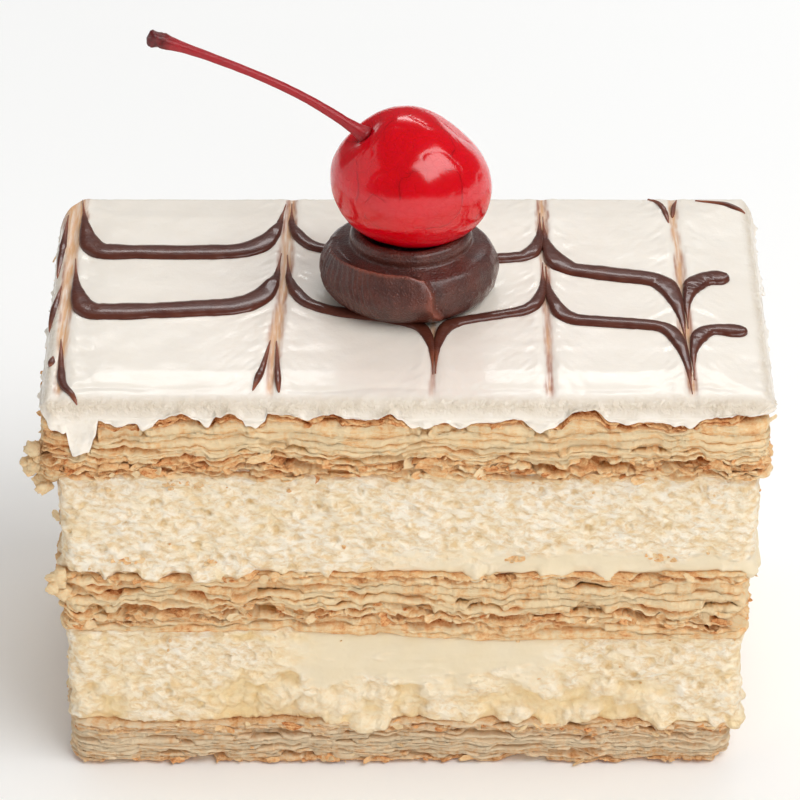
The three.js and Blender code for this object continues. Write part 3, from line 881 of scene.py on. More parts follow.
    def skin(self) -> tuple[np.ndarray, np.ndarray]:
        """Follows the skin from the top, round every leaf, to the underside.

        Returns:
            Rings of points of shape (rings, columns, 3), and how brown each is with painted shade in the
            crevices, of shape (rings, columns).
        """
        last = len(self.leaves) - 1
        ring = self.outline.ring
        rings = [ring(self.base, self.ways, out, self.upper[0]) for out in self.inner]
        browns_and_shade = [np.full(self.columns, 0.5)] * 2
        browned = 0.25 * (self.place is Pastry.TOP)
        corner = browned * ramp(-self.base[:, 0], 45, 48) * ramp(-self.base[:, 1], 20, 28)
        for k, kind in enumerate(self.leaves):
            seed = 800 + 10 * k
            fleck = corner * (k < 9) + 0.2 * self.noise(3.4, seed) + 0.25 * self.noise(0.9, seed + 1)
            fleck = fleck + 0.08 * math.sin(7.0 * k)
            limp = 0.6 + 1.1 * self.noise(4, seed + 2) + 0.5 * self.noise(1.5, seed + 3)
            jagged = 0.45 * self.noise(2.6, seed + 4) + 0.15 * self.noise(0.8, seed + 5)
            hang = kind.droop * np.clip(limp, 0, 2.4) + kind.ragged * kind.chipped * jagged
            high, low, out = self.upper[k], self.lower[k], self.out[k]
            # Three rings round the edge's blunt tip, which hangs, then one down in the crevice under it
            blunt = np.clip(0.45 * (high - low), 0.05, 0.3)
            for back, side, hung in ((blunt, high, 0.8), (0, (high + low) / 2, 1.0), (blunt, low, 0.8)):
                rings.append(ring(self.base, self.ways, out - back, side - hung * hang))
            # Painted light on each edge: the tip a little lighter as a painted highlight, its underside a
            # little darker as painted shade
            browns_and_shade += [kind.bake + fleck, kind.bake + fleck - 0.05, kind.bake + fleck + 0.1]
            if k < last:
                height = low - self.upper[k + 1]
                span, least = (3.5, 0.05) if self.place is Pastry.BOTTOM else (6, -0.25)
                parted = self.noise(span, seed + 6) + 0.5 * self.noise(2, seed + 7)
                parted = 0.1 + 0.9 * ramp(parted, least, least + 0.5)
                inward = (0.15 + 0.3 * kind.chipped) * parted + kind.deep * ramp(height, 0.05, 0.4)
                notch = np.minimum(out, self.out[k + 1]) - inward
                rings.append(ring(self.base, self.ways, notch, low - 0.5 * height))
                # Painted shade: the ring down in the crevice goes from the leaf's baked brown towards its
                # shade value where the leaves part
                dark = ramp(height, -0.1, 0.3) * parted
                browns_and_shade.append(kind.bake + (kind.shade - kind.bake) * dark + 0.5 * fleck)
        floor = 0 if self.curl else self.lower[last]
        rings += [ring(self.base, self.ways, out, floor) for out in reversed(self.inner)]
        browns_and_shade += [np.full(self.columns, 0.45)] * 2
        return np.stack(rings), np.clip(np.stack(browns_and_shade), 0, 1)

    def build(self, finish: BakedPuffPastry) -> None:
        """Builds the sheet and dresses it."""
        rings, browns_and_shade = self.skin()
        shell = Shell(self.columns, len(rings))
        middle = self.outline.shift
        shell.place(rings, [middle, 0, self.ceiling], [middle, 0, self.floor])
        shell.paint("bake", browns_and_shade, 0.5, 0.45)
        dress(shell.piece, f"{self.place.value}_leaves", finish.material(), self.place.value)


@dataclass
class CreamLayer:
    """A layer of custard cream, cut by the knife on its four sides.

    Attributes:
        place: Which layer it is.
        floor: Height of its underside.
        ceiling: Height of its top.
        outline: Its outline.
        yolk: How yellow it is, from 0 to 1.
        columns: Points round it.
        rows: Points up its cut face.
        inner: How far out the rings on its top and underside lie, the innermost first.
        bite: How far it reaches into the sheets over and under it.
        recess: How far its cut face lies inside the outline on the whole.
    """

    place: Cream
    floor: float
    ceiling: float
    outline: Outline
    yolk: float
    columns: int = 1150
    rows: int = 72
    inner: tuple[float, float] = (-7.0, -2.0)
    bite: float = 0.35
    recess: float = 0.35

    def smeared(self, at: np.ndarray) -> np.ndarray:
        """Where the knife has smeared the cut face smooth, from 0 to 1."""
        x, y, z = at[..., 0], at[..., 1], at[..., 2]
        share = (z - self.floor) / (self.ceiling - self.floor)
        broken = 0.3 * noise(at * [1, 1, 2.5], 6, 61) + 0.12 * noise(at * [1, 1, 2], 1.8, 60)
        if self.place is Cream.LOWER:
            middle = ramp(x + 8 * broken, -22, -12) * (1 - ramp(x + 8 * broken, 18, 26))
            front = middle * ramp(share + broken, 0.34, 0.68) * (y < 0)
            back = ramp(noise(at * [1, 1, 2], 18, 62), 0.0, 0.3) * ramp(share, 0.35, 0.6) * (y >= 0)
            return np.clip(front + back, 0, 1)
        low = 1 - ramp(share + 0.6 * broken, 0.06, 0.3)
        return low * ramp(x, -12, 8)

    def curds(self, at: np.ndarray) -> np.ndarray:
        """Where the cream has broken into lumps, from 0 to 1."""
        if self.place is Cream.UPPER:
            return np.zeros(at.shape[:-1])
        share = (at[..., 2] - self.floor) / (self.ceiling - self.floor)
        low = 1 - ramp(share + 0.25 * noise(at, 5, 63), 0.36, 0.56)
        middle = 0.45 * (1 - ramp(np.abs(at[..., 0] - 6), 24, 34))
        return low * ramp(noise(at * [1, 1, 0.5], 14, 64) + middle, 0.0, 0.35)

    def holes(self, at: np.ndarray) -> np.ndarray:
        """Depth of the burst bubbles in the cut face."""
        return 0.55 * ramp(0.3 - cells(at, 2.6, 69), 0, 0.2)

    def torn(self, at: np.ndarray) -> np.ndarray:
        """Small lumps that the knife has torn and dragged down to the right."""
        x, y, z = at[..., 0], at[..., 1], at[..., 2]
        dragged = np.stack([0.6 * (x - 0.6 * z), 0.8 * y, 1.1 * (z + 0.6 * x)], axis=-1)
        return 0.42 * noise(dragged, 2.3, 67) + 0.3 * noise(dragged, 1.1, 68)

    def relief(self, at: np.ndarray) -> np.ndarray:
        """How far the cut face stands out of the plane of the knife."""
        smooth = self.smeared(at)
        swell = 0.3 * noise(at, 9, 65) + 0.25 * noise(at * [1, 1, 1.6], 3.8, 66)
        drag = 0.12 * noise(at * [0.2, 0.2, 1], 1.1, 71)
        lump = np.sqrt(1 - np.clip(1.7 * cells(at * [0.75, 0.75, 1], 3.9, 72), 0, 0.98) ** 2)
        small = np.sqrt(1 - np.clip(1.7 * cells(at, 2.1, 78), 0, 0.98) ** 2)
        curd = self.curds(at) * (1.7 * lump + 0.8 * small - 1.6)
        open_face = (self.torn(at) - self.holes(at)) * (1 - smooth) * (1 - 0.6 * self.curds(at))
        return -self.recess + swell * (1 - 0.5 * smooth) + open_face + drag * smooth + curd

    def build(self, finish: CustardCream) -> None:
        """Builds the layer and dresses it."""
        base, ways = self.outline.stations(self.columns)
        flat = [np.column_stack([base, np.full(self.columns, z)]) for z in (self.ceiling, self.floor)]
        top, low = [level[:, 2] + SLICE.wave(level) for level in flat]
        under = np.column_stack([base, low])
        lap = 1.1 * ramp(noise(under, 5, 75) + 0.4 * noise(under, 1.8, 76), 0.0, 0.5)
        shares = np.linspace(0, 1, self.rows)
        rings = [self.outline.ring(base, ways, out, top + self.bite) for out in self.inner]
        walls = []
        for share in shares:
            z = top + self.bite + (low - top - 2 * self.bite) * share
            at = np.column_stack([base, z])
            shoulder = 1.1 * (1 - ramp(share, 0, 0.05)) + 0.8 * ramp(share, 0.95, 1)
            out = self.relief(at) - shoulder + lap * ramp(share, 0.88, 0.97)
            z = z - 0.9 * lap * ramp(share, 0.88, 1)
            walls.append(at)
            rings.append(self.outline.ring(base, ways, out, z))
        rings += [self.outline.ring(base, ways, out, low - self.bite) for out in reversed(self.inner)]
        shell = Shell(self.columns, len(rings))
        middle = self.outline.shift
        shell.place(np.stack(rings), [middle, 0, self.ceiling], [middle, 0, self.floor])
        at = np.stack([walls[0], walls[0], *walls, walls[-1], walls[-1]])
        # The rich values: the yolk's own yellow in patches and curds, a stain of crumbs by the sheets, and a
        # yellow painted shade where the face lies deep in a hollow
        patch = 0.22 * noise(at, 6, 73) + 0.12 * noise(at, 2, 74)
        hollow = np.clip(-self.recess - np.stack([self.relief(wall) for wall in at]), 0, 1)
        border = np.exp(-((np.minimum(self.ceiling - at[..., 2], at[..., 2] - self.floor) / 0.9) ** 2))
        border = border * ramp(noise(at, 3, 77), -0.1, 0.4)
        rich = np.clip(self.yolk + patch + 0.1 * self.curds(at) + 0.5 * hollow + 0.5 * border, 0, 1)
        shell.paint("rich", rich, self.yolk, self.yolk)
        shell.paint("smooth", np.maximum(self.smeared(at), 0.4 * self.curds(at)), 1, 1)
        dress(shell.piece, f"{self.place.value}_custard", finish.material(), self.place.value)


@dataclass(frozen=True)
class Edge:
    """The icing's lower edge along the front.

    Attributes:
        points: Places from left to right, each with how far the edge hangs below the icing's floor.
    """

    points: tuple[tuple[float, float], ...]

    def below(self, x: np.ndarray) -> np.ndarray:
        """How far the edge hangs at some places, in soft curves from one to the next."""
        places, hangs = np.array(self.points).T
        number = np.clip(np.searchsorted(places, x) - 1, 0, len(places) - 2)
        share = ramp(x, places[number], places[number + 1])
        return hangs[number] + (hangs[number + 1] - hangs[number]) * share


FRONT_EDGE = Edge(
    (
        (-51.5, -0.3), (-50.1, 1.4), (-48.0, 1.7), (-47.7, 5.4), (-45.2, 4.7), (-44.0, 1.7), (-43.8, -0.2),
        (-40.5, 0.9), (-38.4, 0.2), (-37.4, 1.5), (-36.3, 0.7), (-34.9, -0.3), (-31.8, -1.2), (-29.7, -0.4),
        (-28.4, 0.8), (-26.9, -0.8), (-24.7, -1.2), (-23.5, -0.7), (-22.8, 0.6), (-21.5, 0.9), (-20.2, 0.1),
        (-19.8, -1.2), (-17.0, -1.1), (-14.2, -0.4), (-10.7, -1.1), (-8.1, -0.4), (-5.3, -0.3), (-2.5, -1.2),
        (-1.1, -0.5), (0.6, 0.9), (2.0, 1.0), (5.3, 0.2), (7.0, 1.0), (10.5, 0.2), (15.8, -0.3), (17.5, 0.9),
        (18.7, 1.5), (20.9, 0.8), (23.2, -1.4), (24.7, -1.9), (26.4, -1.7), (28.8, 0.2), (34.2, 0.2),
        (40.1, 0.7), (42.2, -0.6), (47.5, -0.9), (51.1, -0.8),
    )
)


@dataclass(frozen=True)
class Comb:
    """A comb drawn through the piped lines, to the back or to the front.

    Attributes:
        x: Where it lies, half way to the back.
        lean: How much further right it lies at the back than at the front.
        clear: Half the width that it leaves free of chocolate.
        pull: How far it bends the line on its left and the one on its right.
        reach: The length over which each bend fades.
        streak: Half the width of the tan streak, at four places from front to back.
        red: How strong its red-brown edges are, at the same places.
    """

    x: float
    lean: float
    clear: float
    pull: tuple[float, float]
    reach: tuple[float, float]
    streak: tuple[float, float, float, float]
    red: tuple[float, float, float, float]


COMBS = (
    Comb(-50.2, -1.6, 1.0, (9.4, 10.5), (1.1, 1.15), (0.45, 0.75, 1.1, 1.5), (0.4, 0.6, 0.8, 0.9)),
    Comb(-18.5, 2.0, 0.9, (9.6, 8.6), (2.1, 1.65), (0.6, 0.75, 0.85, 0.6), (0.7, 0.8, 0.9, 1.0)),
    Comb(3.9, 0.6, 0.35, (-7, -7), (0.9, 0.9), (0.25, 0.35, 0.3, 0.3), (0.9, 1.0, 0.3, 0.1)),
    Comb(20.5, 0.6, 0.4, (7.3, 9.7), (0.85, 1.1), (0.35, 0.3, 0.45, 0.7), (1.0, 0.6, 0.9, 1.0)),
    Comb(40.6, 0.4, 0.5, (-11.8, -7.7), (1.0, 1.1), (0.5, 1.0, 0.5, 0.5), (0.9, 1.0, 0.7, 0.9)),
)
STREAK_PLACES = (-26.0, -9.0, 8.0, 28.0)


@dataclass
class Icing:
    """The layer of icing: a crowned top with comb furrows, a rounded rim, and an edge that drips.

    Attributes:
        columns: Squares from left to right.
        files: Squares from front to back.
        rim: Radius of the rounded edge.
        crown: How much lower the face is at its rim.
        skirt: Thickness of the hanging edge.
        lip: Rows of points from the rim down to the hanging edge's lowest line. Four more close it behind.
        insets: How far in the last two of those lie, under the icing.
        shy: How far they lie above the icing's own floor.
        least: Height that the hanging edge has where it rises furthest.
    """

    columns: int = 300
    files: int = 132
    rim: float = 2.4
    crown: float = 0.35
    skirt: float = 1.1
    lip: int = 12
    insets: tuple[float, float] = (2.3, 10.0)
    shy: float = 0.15
    least: float = 0.3

    @staticmethod
    def inside(x: np.ndarray, y: np.ndarray) -> np.ndarray:
        """How far inside the slice's outline a place lies."""
        end = SLICE.length / 2 + SLICE.widens * y / (SLICE.depth / 2)
        return np.minimum(end - np.abs(x), SLICE.depth / 2 - np.abs(y))

    def height(self, x: np.ndarray, y: np.ndarray) -> np.ndarray:
        """Height of the icing's face, with its furrows and wrinkles."""
        inside = self.inside(x, y)
        crowned = SLICE.height - self.crown + self.crown * np.clip((inside - self.rim) / 6, 0, 1)
        short = np.clip(self.rim - inside, 0, self.rim)
        rounded = self.rim - np.sqrt(self.rim**2 - short**2)
        at = np.stack([x, y, np.zeros_like(x)], axis=-1)
        relief = 0.14 * noise(at, 14, 81) + 0.06 * noise(at, 4.5, 82)
        front = (y < -20) * ramp(noise(at, 12, 79), -0.4, 0.3)
        relief = relief - 0.15 * front * np.exp(-(((inside - 3.8 - 0.8 * noise(at, 9, 80)) / 0.6) ** 2))
        relief = relief + 0.12 * noise(at, 1.4, 78) * (1 - ramp(inside, 1.5, 4)) * (y < -20)
        for comb in COMBS:
            away = x - self.comb_x(comb, y)
            furrow = -0.3 * np.exp(-((away / 0.75) ** 2))
            furrow = furrow + 0.12 * np.exp(-(((np.abs(away) - 1.7) / 0.8) ** 2))
            slant = np.stack([np.abs(away) + 0.8 * y, 0.25 * np.abs(away) - 0.2 * y, 0 * x], axis=-1)
            wrinkle = 0.17 * noise(slant, 0.9, 83) * ramp(np.abs(away), 0.5, 1.5) * np.exp(-np.abs(away) / 4)
            relief = relief + furrow * (0.7 + 0.5 * noise(at, 6, 84)) + wrinkle
        return crowned - rounded + relief * np.clip(inside / 2, 0.15, 1)

    @staticmethod
    def comb_x(comb: Comb, y: np.ndarray) -> np.ndarray:
        """Where a comb's mark lies at a distance from front to back."""
        at = np.stack([0 * y, y, 0 * y + comb.x], axis=-1)
        return comb.x + comb.lean * y / SLICE.depth + 0.25 * noise(at, 9, 85)

    def rounded_corner(self, across: np.ndarray, along: np.ndarray) -> tuple[np.ndarray, np.ndarray]:
        """Lays a square grid from -1 to 1 over the outline with its rounded corners.

        Args:
            across: From left to right.
            along: From front to back.

        Returns:
            x and y in millimetres.
        """
        half_x = SLICE.length / 2 + SLICE.widens * along
        x, y = across * half_x, along * SLICE.depth / 2
        for (right, back), radius in zip([(-1, -1), (1, -1), (1, 1), (-1, 1)], SLICE.corners):
            u = 1 - (half_x - right * x) / radius
            v = 1 - (SLICE.depth / 2 - back * y) / radius
            near = (u > 0) & (v > 0)
            u, v = np.clip(u, 0, 1), np.clip(v, 0, 1)
            x = np.where(near, right * (half_x - radius + radius * u * np.sqrt(1 - v * v / 2)), x)
            y = np.where(near, back * (SLICE.depth / 2 - radius + radius * v * np.sqrt(1 - u * u / 2)), y)
        return x, y

    def hang(self, at: np.ndarray) -> np.ndarray:
        """How far the edge hangs below the icing's floor."""
        at = at * [1, 1, 0]
        rough = 0.3 * noise(at, 1.6, 87) + 0.2 * noise(at, 0.8, 88)
        others = 0.3 + 0.45 * noise(at, 5, 86) + 1.6 * ramp(noise(at, 6, 89), 0.25, 0.7)
        return rough + others + (FRONT_EDGE.below(at[..., 0]) - others) * ramp(-at[..., 1], 20, 30)

    def sheet(self) -> bpy.types.Object:
        """Adds a flat grid, with rows drawn down from its rim and a face that closes them."""
        deselect_all()
        bpy.ops.mesh.primitive_grid_add(x_subdivisions=self.columns, y_subdivisions=self.files, size=2)
        bpy.ops.object.mode_set(mode="EDIT")
        bpy.ops.mesh.select_mode(type="EDGE")
        bpy.ops.mesh.select_all(action="DESELECT")
        bpy.ops.mesh.select_non_manifold()
        for _ in range(self.lip + 4):
            bpy.ops.mesh.extrude_region_move(TRANSFORM_OT_translate={"value": (0, 0, -1)})
        bpy.ops.mesh.edge_face_add()
        bpy.ops.object.mode_set(mode="OBJECT")
        return bpy.context.active_object

    def draw_down(self, square: np.ndarray, row: np.ndarray, spots: np.ndarray) -> None:
        """Moves the rows under the rim to where the edge hangs and closes behind itself.

        Args:
            square: Where each point lies on the flat grid.
            row: How many rows under the rim each point is.
            spots: Where each point goes, in millimetres. The rim and what hangs from it are changed in place.
        """
        x, y, z = spots.T
        rim = np.flatnonzero((row == 0) & (np.abs(square[:, :2]).max(axis=1) > 1 - 1e-4))
        rim = rim[np.argsort(np.arctan2(y[rim], x[rim]))]
        along = np.roll(spots[rim, :2], 1, axis=0) - np.roll(spots[rim, :2], -1, axis=0)
        ways = unit(np.stack([-along[:, 1], along[:, 0]], axis=1))
        names = [tuple(place) for place in np.round(square[:, :2], 4)]
        known = {names[i]: k for k, i in enumerate(rim)}
        skirt = np.flatnonzero(row > 0)
        column = np.array([known[names[i]] for i in skirt])
        ends = SLICE.icing_floor - self.hang(spots[rim])
        z[rim] = np.maximum(z[rim], ends + self.least)
        start, way, end, level = spots[rim][column], ways[column], ends[column], row[skirt]
        # From the rim down the drips, round under their lowest line, and up again behind them
        share = np.array([*np.linspace(0, 0.96, self.lip), 1.0, 0.985, 0.7, 0, 0])[level]
        inner = level >= self.lip + 2
        down = start[:, 2] + (end - start[:, 2]) * share
        down = np.where(inner, np.maximum(SLICE.icing_floor + self.shy, end + 0.5), down)
        down = np.where(level == self.lip + 1, end + 0.12, down)
        on_wall = np.column_stack([start[:, :2], down])
        lump = 0.32 * noise(on_wall, 4, 90) + 0.2 * noise(on_wall, 1.6, 91)
        lump = lump + (0.6 * noise(on_wall, 1.5, 95) + 0.3 * noise(on_wall, 0.8, 98)) * ramp(share, 0.3, 0.6)
        hung = np.clip((SLICE.icing_floor - end - 0.4) / 1.5, 0, 1)
        out = lump * np.sin(0.9 * math.pi * share) + 0.15 + 0.9 * hung * share
        # Under the lowest line each row lies further in, down to the thickness of the skirt
        tucked = np.array([0] * self.lip + [-0.15, -0.75] + [-self.skirt] * 3)[level]
        out = np.where(level >= self.lip, tucked + 0.9 * hung * ~inner, out)
        spots[skirt, :2] = start[:, :2] + way * out[:, None]
        z[skirt] = down
        for last, inset in enumerate(self.insets, self.lip + 3):
            under = level == last
            shrink = 1 - 2 * inset / np.array([SLICE.length, SLICE.depth])
            spots[skirt[under], :2] = start[under, :2] * shrink
        z[row == self.lip + 4] = SLICE.icing_floor + self.shy

    def build(self, finish: Fondant) -> None:
        """Builds the icing from a grid whose rim is drawn down, and dresses it."""
        piece = self.sheet()
        mesh = piece.data
        square = points_of(mesh)
        x, y = self.rounded_corner(square[:, 0], square[:, 1])
        spots = np.column_stack([x, y, self.height(x, y)])
        self.draw_down(square, np.rint(-square[:, 2]).astype(int), spots)
        mesh.vertices.foreach_set("co", (spots * MM).ravel())
        self.paint_streaks(mesh, spots)
        x, y, z = spots.T
        # The rim values: where the rounded rim is painted greyer as shade, and where it is lumpy
        rim = ramp(-self.inside(x, y), -self.rim, 0) * (0.85 + 0.25 * noise(spots, 2.2, 96))
        rim = rim * (1 - 0.85 * ramp(SLICE.icing_floor - z + 0.7 * noise(spots, 3, 97), -1.6, -0.4))
        store(mesh, "rim", np.clip(rim, 0, 1))
        mesh.update()
        bpy.ops.object.mode_set(mode="EDIT")
        bpy.ops.mesh.select_all(action="SELECT")
        bpy.ops.mesh.normals_make_consistent(inside=False)
        bpy.ops.object.mode_set(mode="OBJECT")
        bpy.ops.object.shade_smooth()
        dress(piece, "icing_fondant", finish.material(), "icing")

    def paint_streaks(self, mesh: bpy.types.Mesh, spots: np.ndarray) -> None:
        """Stores where the comb marks are tan and where their red-brown edges lie."""
        x, y, z = spots.T
        streak, edge = np.zeros(len(x)), np.zeros(len(x))
        for comb in COMBS:
            away = np.abs(x - self.comb_x(comb, y) + 0.15 * noise(spots, 1.5, 92))
            wide, red = [np.interp(y, STREAK_PLACES, values) for values in (comb.streak, comb.red)]
            wide = wide * (1 + 0.5 * noise(spots * [0.2, 1, 0], 5, 93))
            inside = 1 - ramp(away, 0.5 * wide, 1.3 * wide + 0.1)
            streak = np.maximum(streak, inside * ramp(wide, 0.1, 0.4))
            line = np.exp(-(((away - wide) / 0.24) ** 2)) * ramp(noise(spots * [0.3, 1, 0], 7, 94), -0.6, 0.2)
            edge = np.maximum(edge, red * line)
        on_top = ramp(y, -31, -28) * ramp(z, SLICE.icing_floor - 1, SLICE.icing_floor + 2)
        store(mesh, "streak", streak * on_top)
        store(mesh, "edge", edge * on_top)


@dataclass(frozen=True)
class Stretch:
    """A piped line between two combs: where it starts and ends before they bend it, and half its width."""

    start: float
    end: float
    half: float


@dataclass
class Feathering:
    """The dark chocolate lines on the icing, bent by the combs.

    Attributes:
        icing: What they lie on.
        lines: The two piped lines, each as where it stops and its stretches between combs.
        strays: Short ends by the edges, each as half its width and the points along it.
        tip: Half width of a bead where a comb has drawn it out.
        rise: How far a full bead stands out of the icing.
        tail: How far a comb draws a thin end on along its streak.
    """

    icing: Icing
    lines: tuple[tuple[float, tuple[Stretch, ...]], ...] = (
        (
            47.9,
            (
                Stretch(12.4, 11.9, 2.2),
                Stretch(13.4, 11.3, 1.2),
                Stretch(8.6, 10.9, 1.45),
                Stretch(7.3, 3.0, 2.0),
                Stretch(3.6, 4.7, 1.8),
            ),
        ),
        (
            49.4,
            (
                Stretch(-6.8, -4.8, 2.35),
                Stretch(-4.2, -10.4, 1.2),
                Stretch(-10.2, -5.2, 1.15),
                Stretch(-8.8, -10.8, 1.4),
                Stretch(-11.2, -12.1, 1.35),
            ),
        ),
    )
    strays: tuple[tuple[float, tuple[tuple[float, float], ...]], ...] = (
        (0.6, ((-50.1, -14), (-49.6, -21), (-49.1, -27.1), (-46.6, -31.6))),
        (0.4, ((-19.8, -15), (-20.6, -22.8), (-21.9, -29))),
        (0.4, ((-18.9, -15), (-18.5, -24.2), (-18.2, -29.5))),
        (0.5, ((-51.9, 25.5), (-52.0, 15.6), (-52.2, 6.4))),
        (0.5, ((-51.3, 2.5), (-51.8, -3.4), (-52.2, -9))),
        (0.35, ((37.2, 30.6), (38.6, 29.4), (39.5, 26.5), (39.9, 22))),
        (0.3, ((41.6, 30), (41.0, 28), (40.6, 24))),
        (0.4, ((44.5, 29.9), (48.9, 28.6), (51.9, 26.2))),
        (0.5, ((-50.9, -18.8), (-51.1, -21.4))),
    )
    tip: float = 0.5
    rise: float = 0.6
    tail: float = 7.0

    def stretch_path(self, line: int, number: int, steps: int) -> tuple[np.ndarray, np.ndarray]:
        """The middle of one stretch, and half its width along it.

        Args:
            line: Which line, from the back.
            number: Which stretch, from the left.
            steps: How many points.

        Returns:
            Points of shape (steps, 2) and half widths of shape (steps,).
        """
        stop, stretches = self.lines[line]
        piped = stretches[number]
        before = COMBS[number]
        after = COMBS[number + 1] if number + 1 < len(COMBS) else None
        start = before.x + before.clear
        end = after.x - after.clear if after else stop
        share = 0.5 - 0.5 * np.cos(np.linspace(0, math.pi, steps))
        x = start + (end - start) * share
        y = piped.start + (piped.end - piped.start) * share
        y = y + before.pull[1] * np.exp((start - x) / before.reach[1])
        if after:
            y = y + after.pull[0] * np.exp((x - end) / after.reach[0])
        rounded = self.tip + (piped.half - self.tip) * ramp(np.sqrt(share * (1 - share)), 0, 0.36)
        if after is None:
            left = np.abs(end - x)
            rounded = piped.half * np.where(left < piped.half, np.sqrt(1 - (1 - left / piped.half) ** 2), 1)
            rounded = rounded + 0.35 * np.exp(-(((left - 2) / 1.6) ** 2))
            rounded = np.minimum(rounded, self.tip + 0.9 * (x - start))
        at = np.column_stack([x, y, np.zeros(steps)])
        half = np.maximum(rounded, 0.1) * (1 + 0.14 * noise(at, 5, 101) + 0.06 * noise(at, 1.4, 102))
        path = np.column_stack([x, y + 0.15 * noise(at, 6, 103)])
        drawn = np.linspace(1, 0, 18, endpoint=False)
        for comb, side in ((before, 1), (after, 0)):
            if comb:
                first = path[0] if side else path[-1]
                away = math.copysign(self.tail, comb.pull[side]) * drawn
                slid = first[0] + (comb.x + comb.lean * first[1] / SLICE.depth - first[0]) * 0.5 * drawn
                thin = np.column_stack([slid, first[1] + away])
                narrow = (half[0] if side else half[-1]) * (1 - drawn) ** 2 + 0.07
                path = np.concatenate([thin, path] if side else [path, thin[::-1]])
                half = np.concatenate([narrow, half] if side else [half, narrow[::-1]])
        return path, half

    def bead(self, path: np.ndarray, half: np.ndarray, sides: int = 14) -> Shell:
        """A raised line of chocolate with an oval section.

        Args:
            path: Points along it.
            half: Half its width at them.
            sides: Points round it.

        Returns:
            The closed bead, marked to be paler where it is thin.
        """
        way = unit(np.gradient(path, axis=0))
        floor = self.icing.height(path[:, 0], path[:, 1])
        proud = self.rise * np.minimum(1, 0.3 + half / 1.5)
        rings = []
        for k in range(sides):
            turn = 2 * math.pi * k / sides
            aside, up = half * math.cos(turn), math.sin(turn)
            z = floor + (proud * up**0.65 if up > 0 else 0.6 * up)
            x, y = path[:, 0] - way[:, 1] * aside, path[:, 1] + way[:, 0] * aside
            rings.append(np.column_stack([x, y, z]))
        rings = np.stack(rings, axis=1)[::-1]
        shell = Shell(sides, len(path))
        ends = [[*path[i], floor[i] + 0.3 * proud[i]] for i in (-1, 0)]
        worn = 0.7 * (1 - ramp(half, 0.1, 0.6))[::-1, None] + np.zeros((len(path), sides))
        return shell.place(rings, *ends).paint("worn", worn, 0.7, 0.7)

    def build(self, finish: SetChocolate) -> None:
        """Builds all the lines and dresses them."""
        beads = []
        for line, (_, stretches) in enumerate(self.lines):
            for number in range(len(stretches)):
                beads.append(self.bead(*self.stretch_path(line, number, 90)))
        for half, points in self.strays:
            points = np.array(points, float)
            share = np.linspace(0, 1, 30)
            known = np.linspace(0, 1, len(points))
            path = np.stack([np.interp(share, known, points[:, k]) for k in (0, 1)], axis=1)
            path = smoothed(path, 14)
            at = np.column_stack([path, np.zeros(30)])
            widths = 0.08 + half * np.sin(math.pi * share**1.5) ** 0.7
            beads.append(self.bead(path, widths * (1 + 0.2 * noise(at, 3, 104))))
        dress(joined(beads), "icing_chocolate_lines", finish.material(), None)


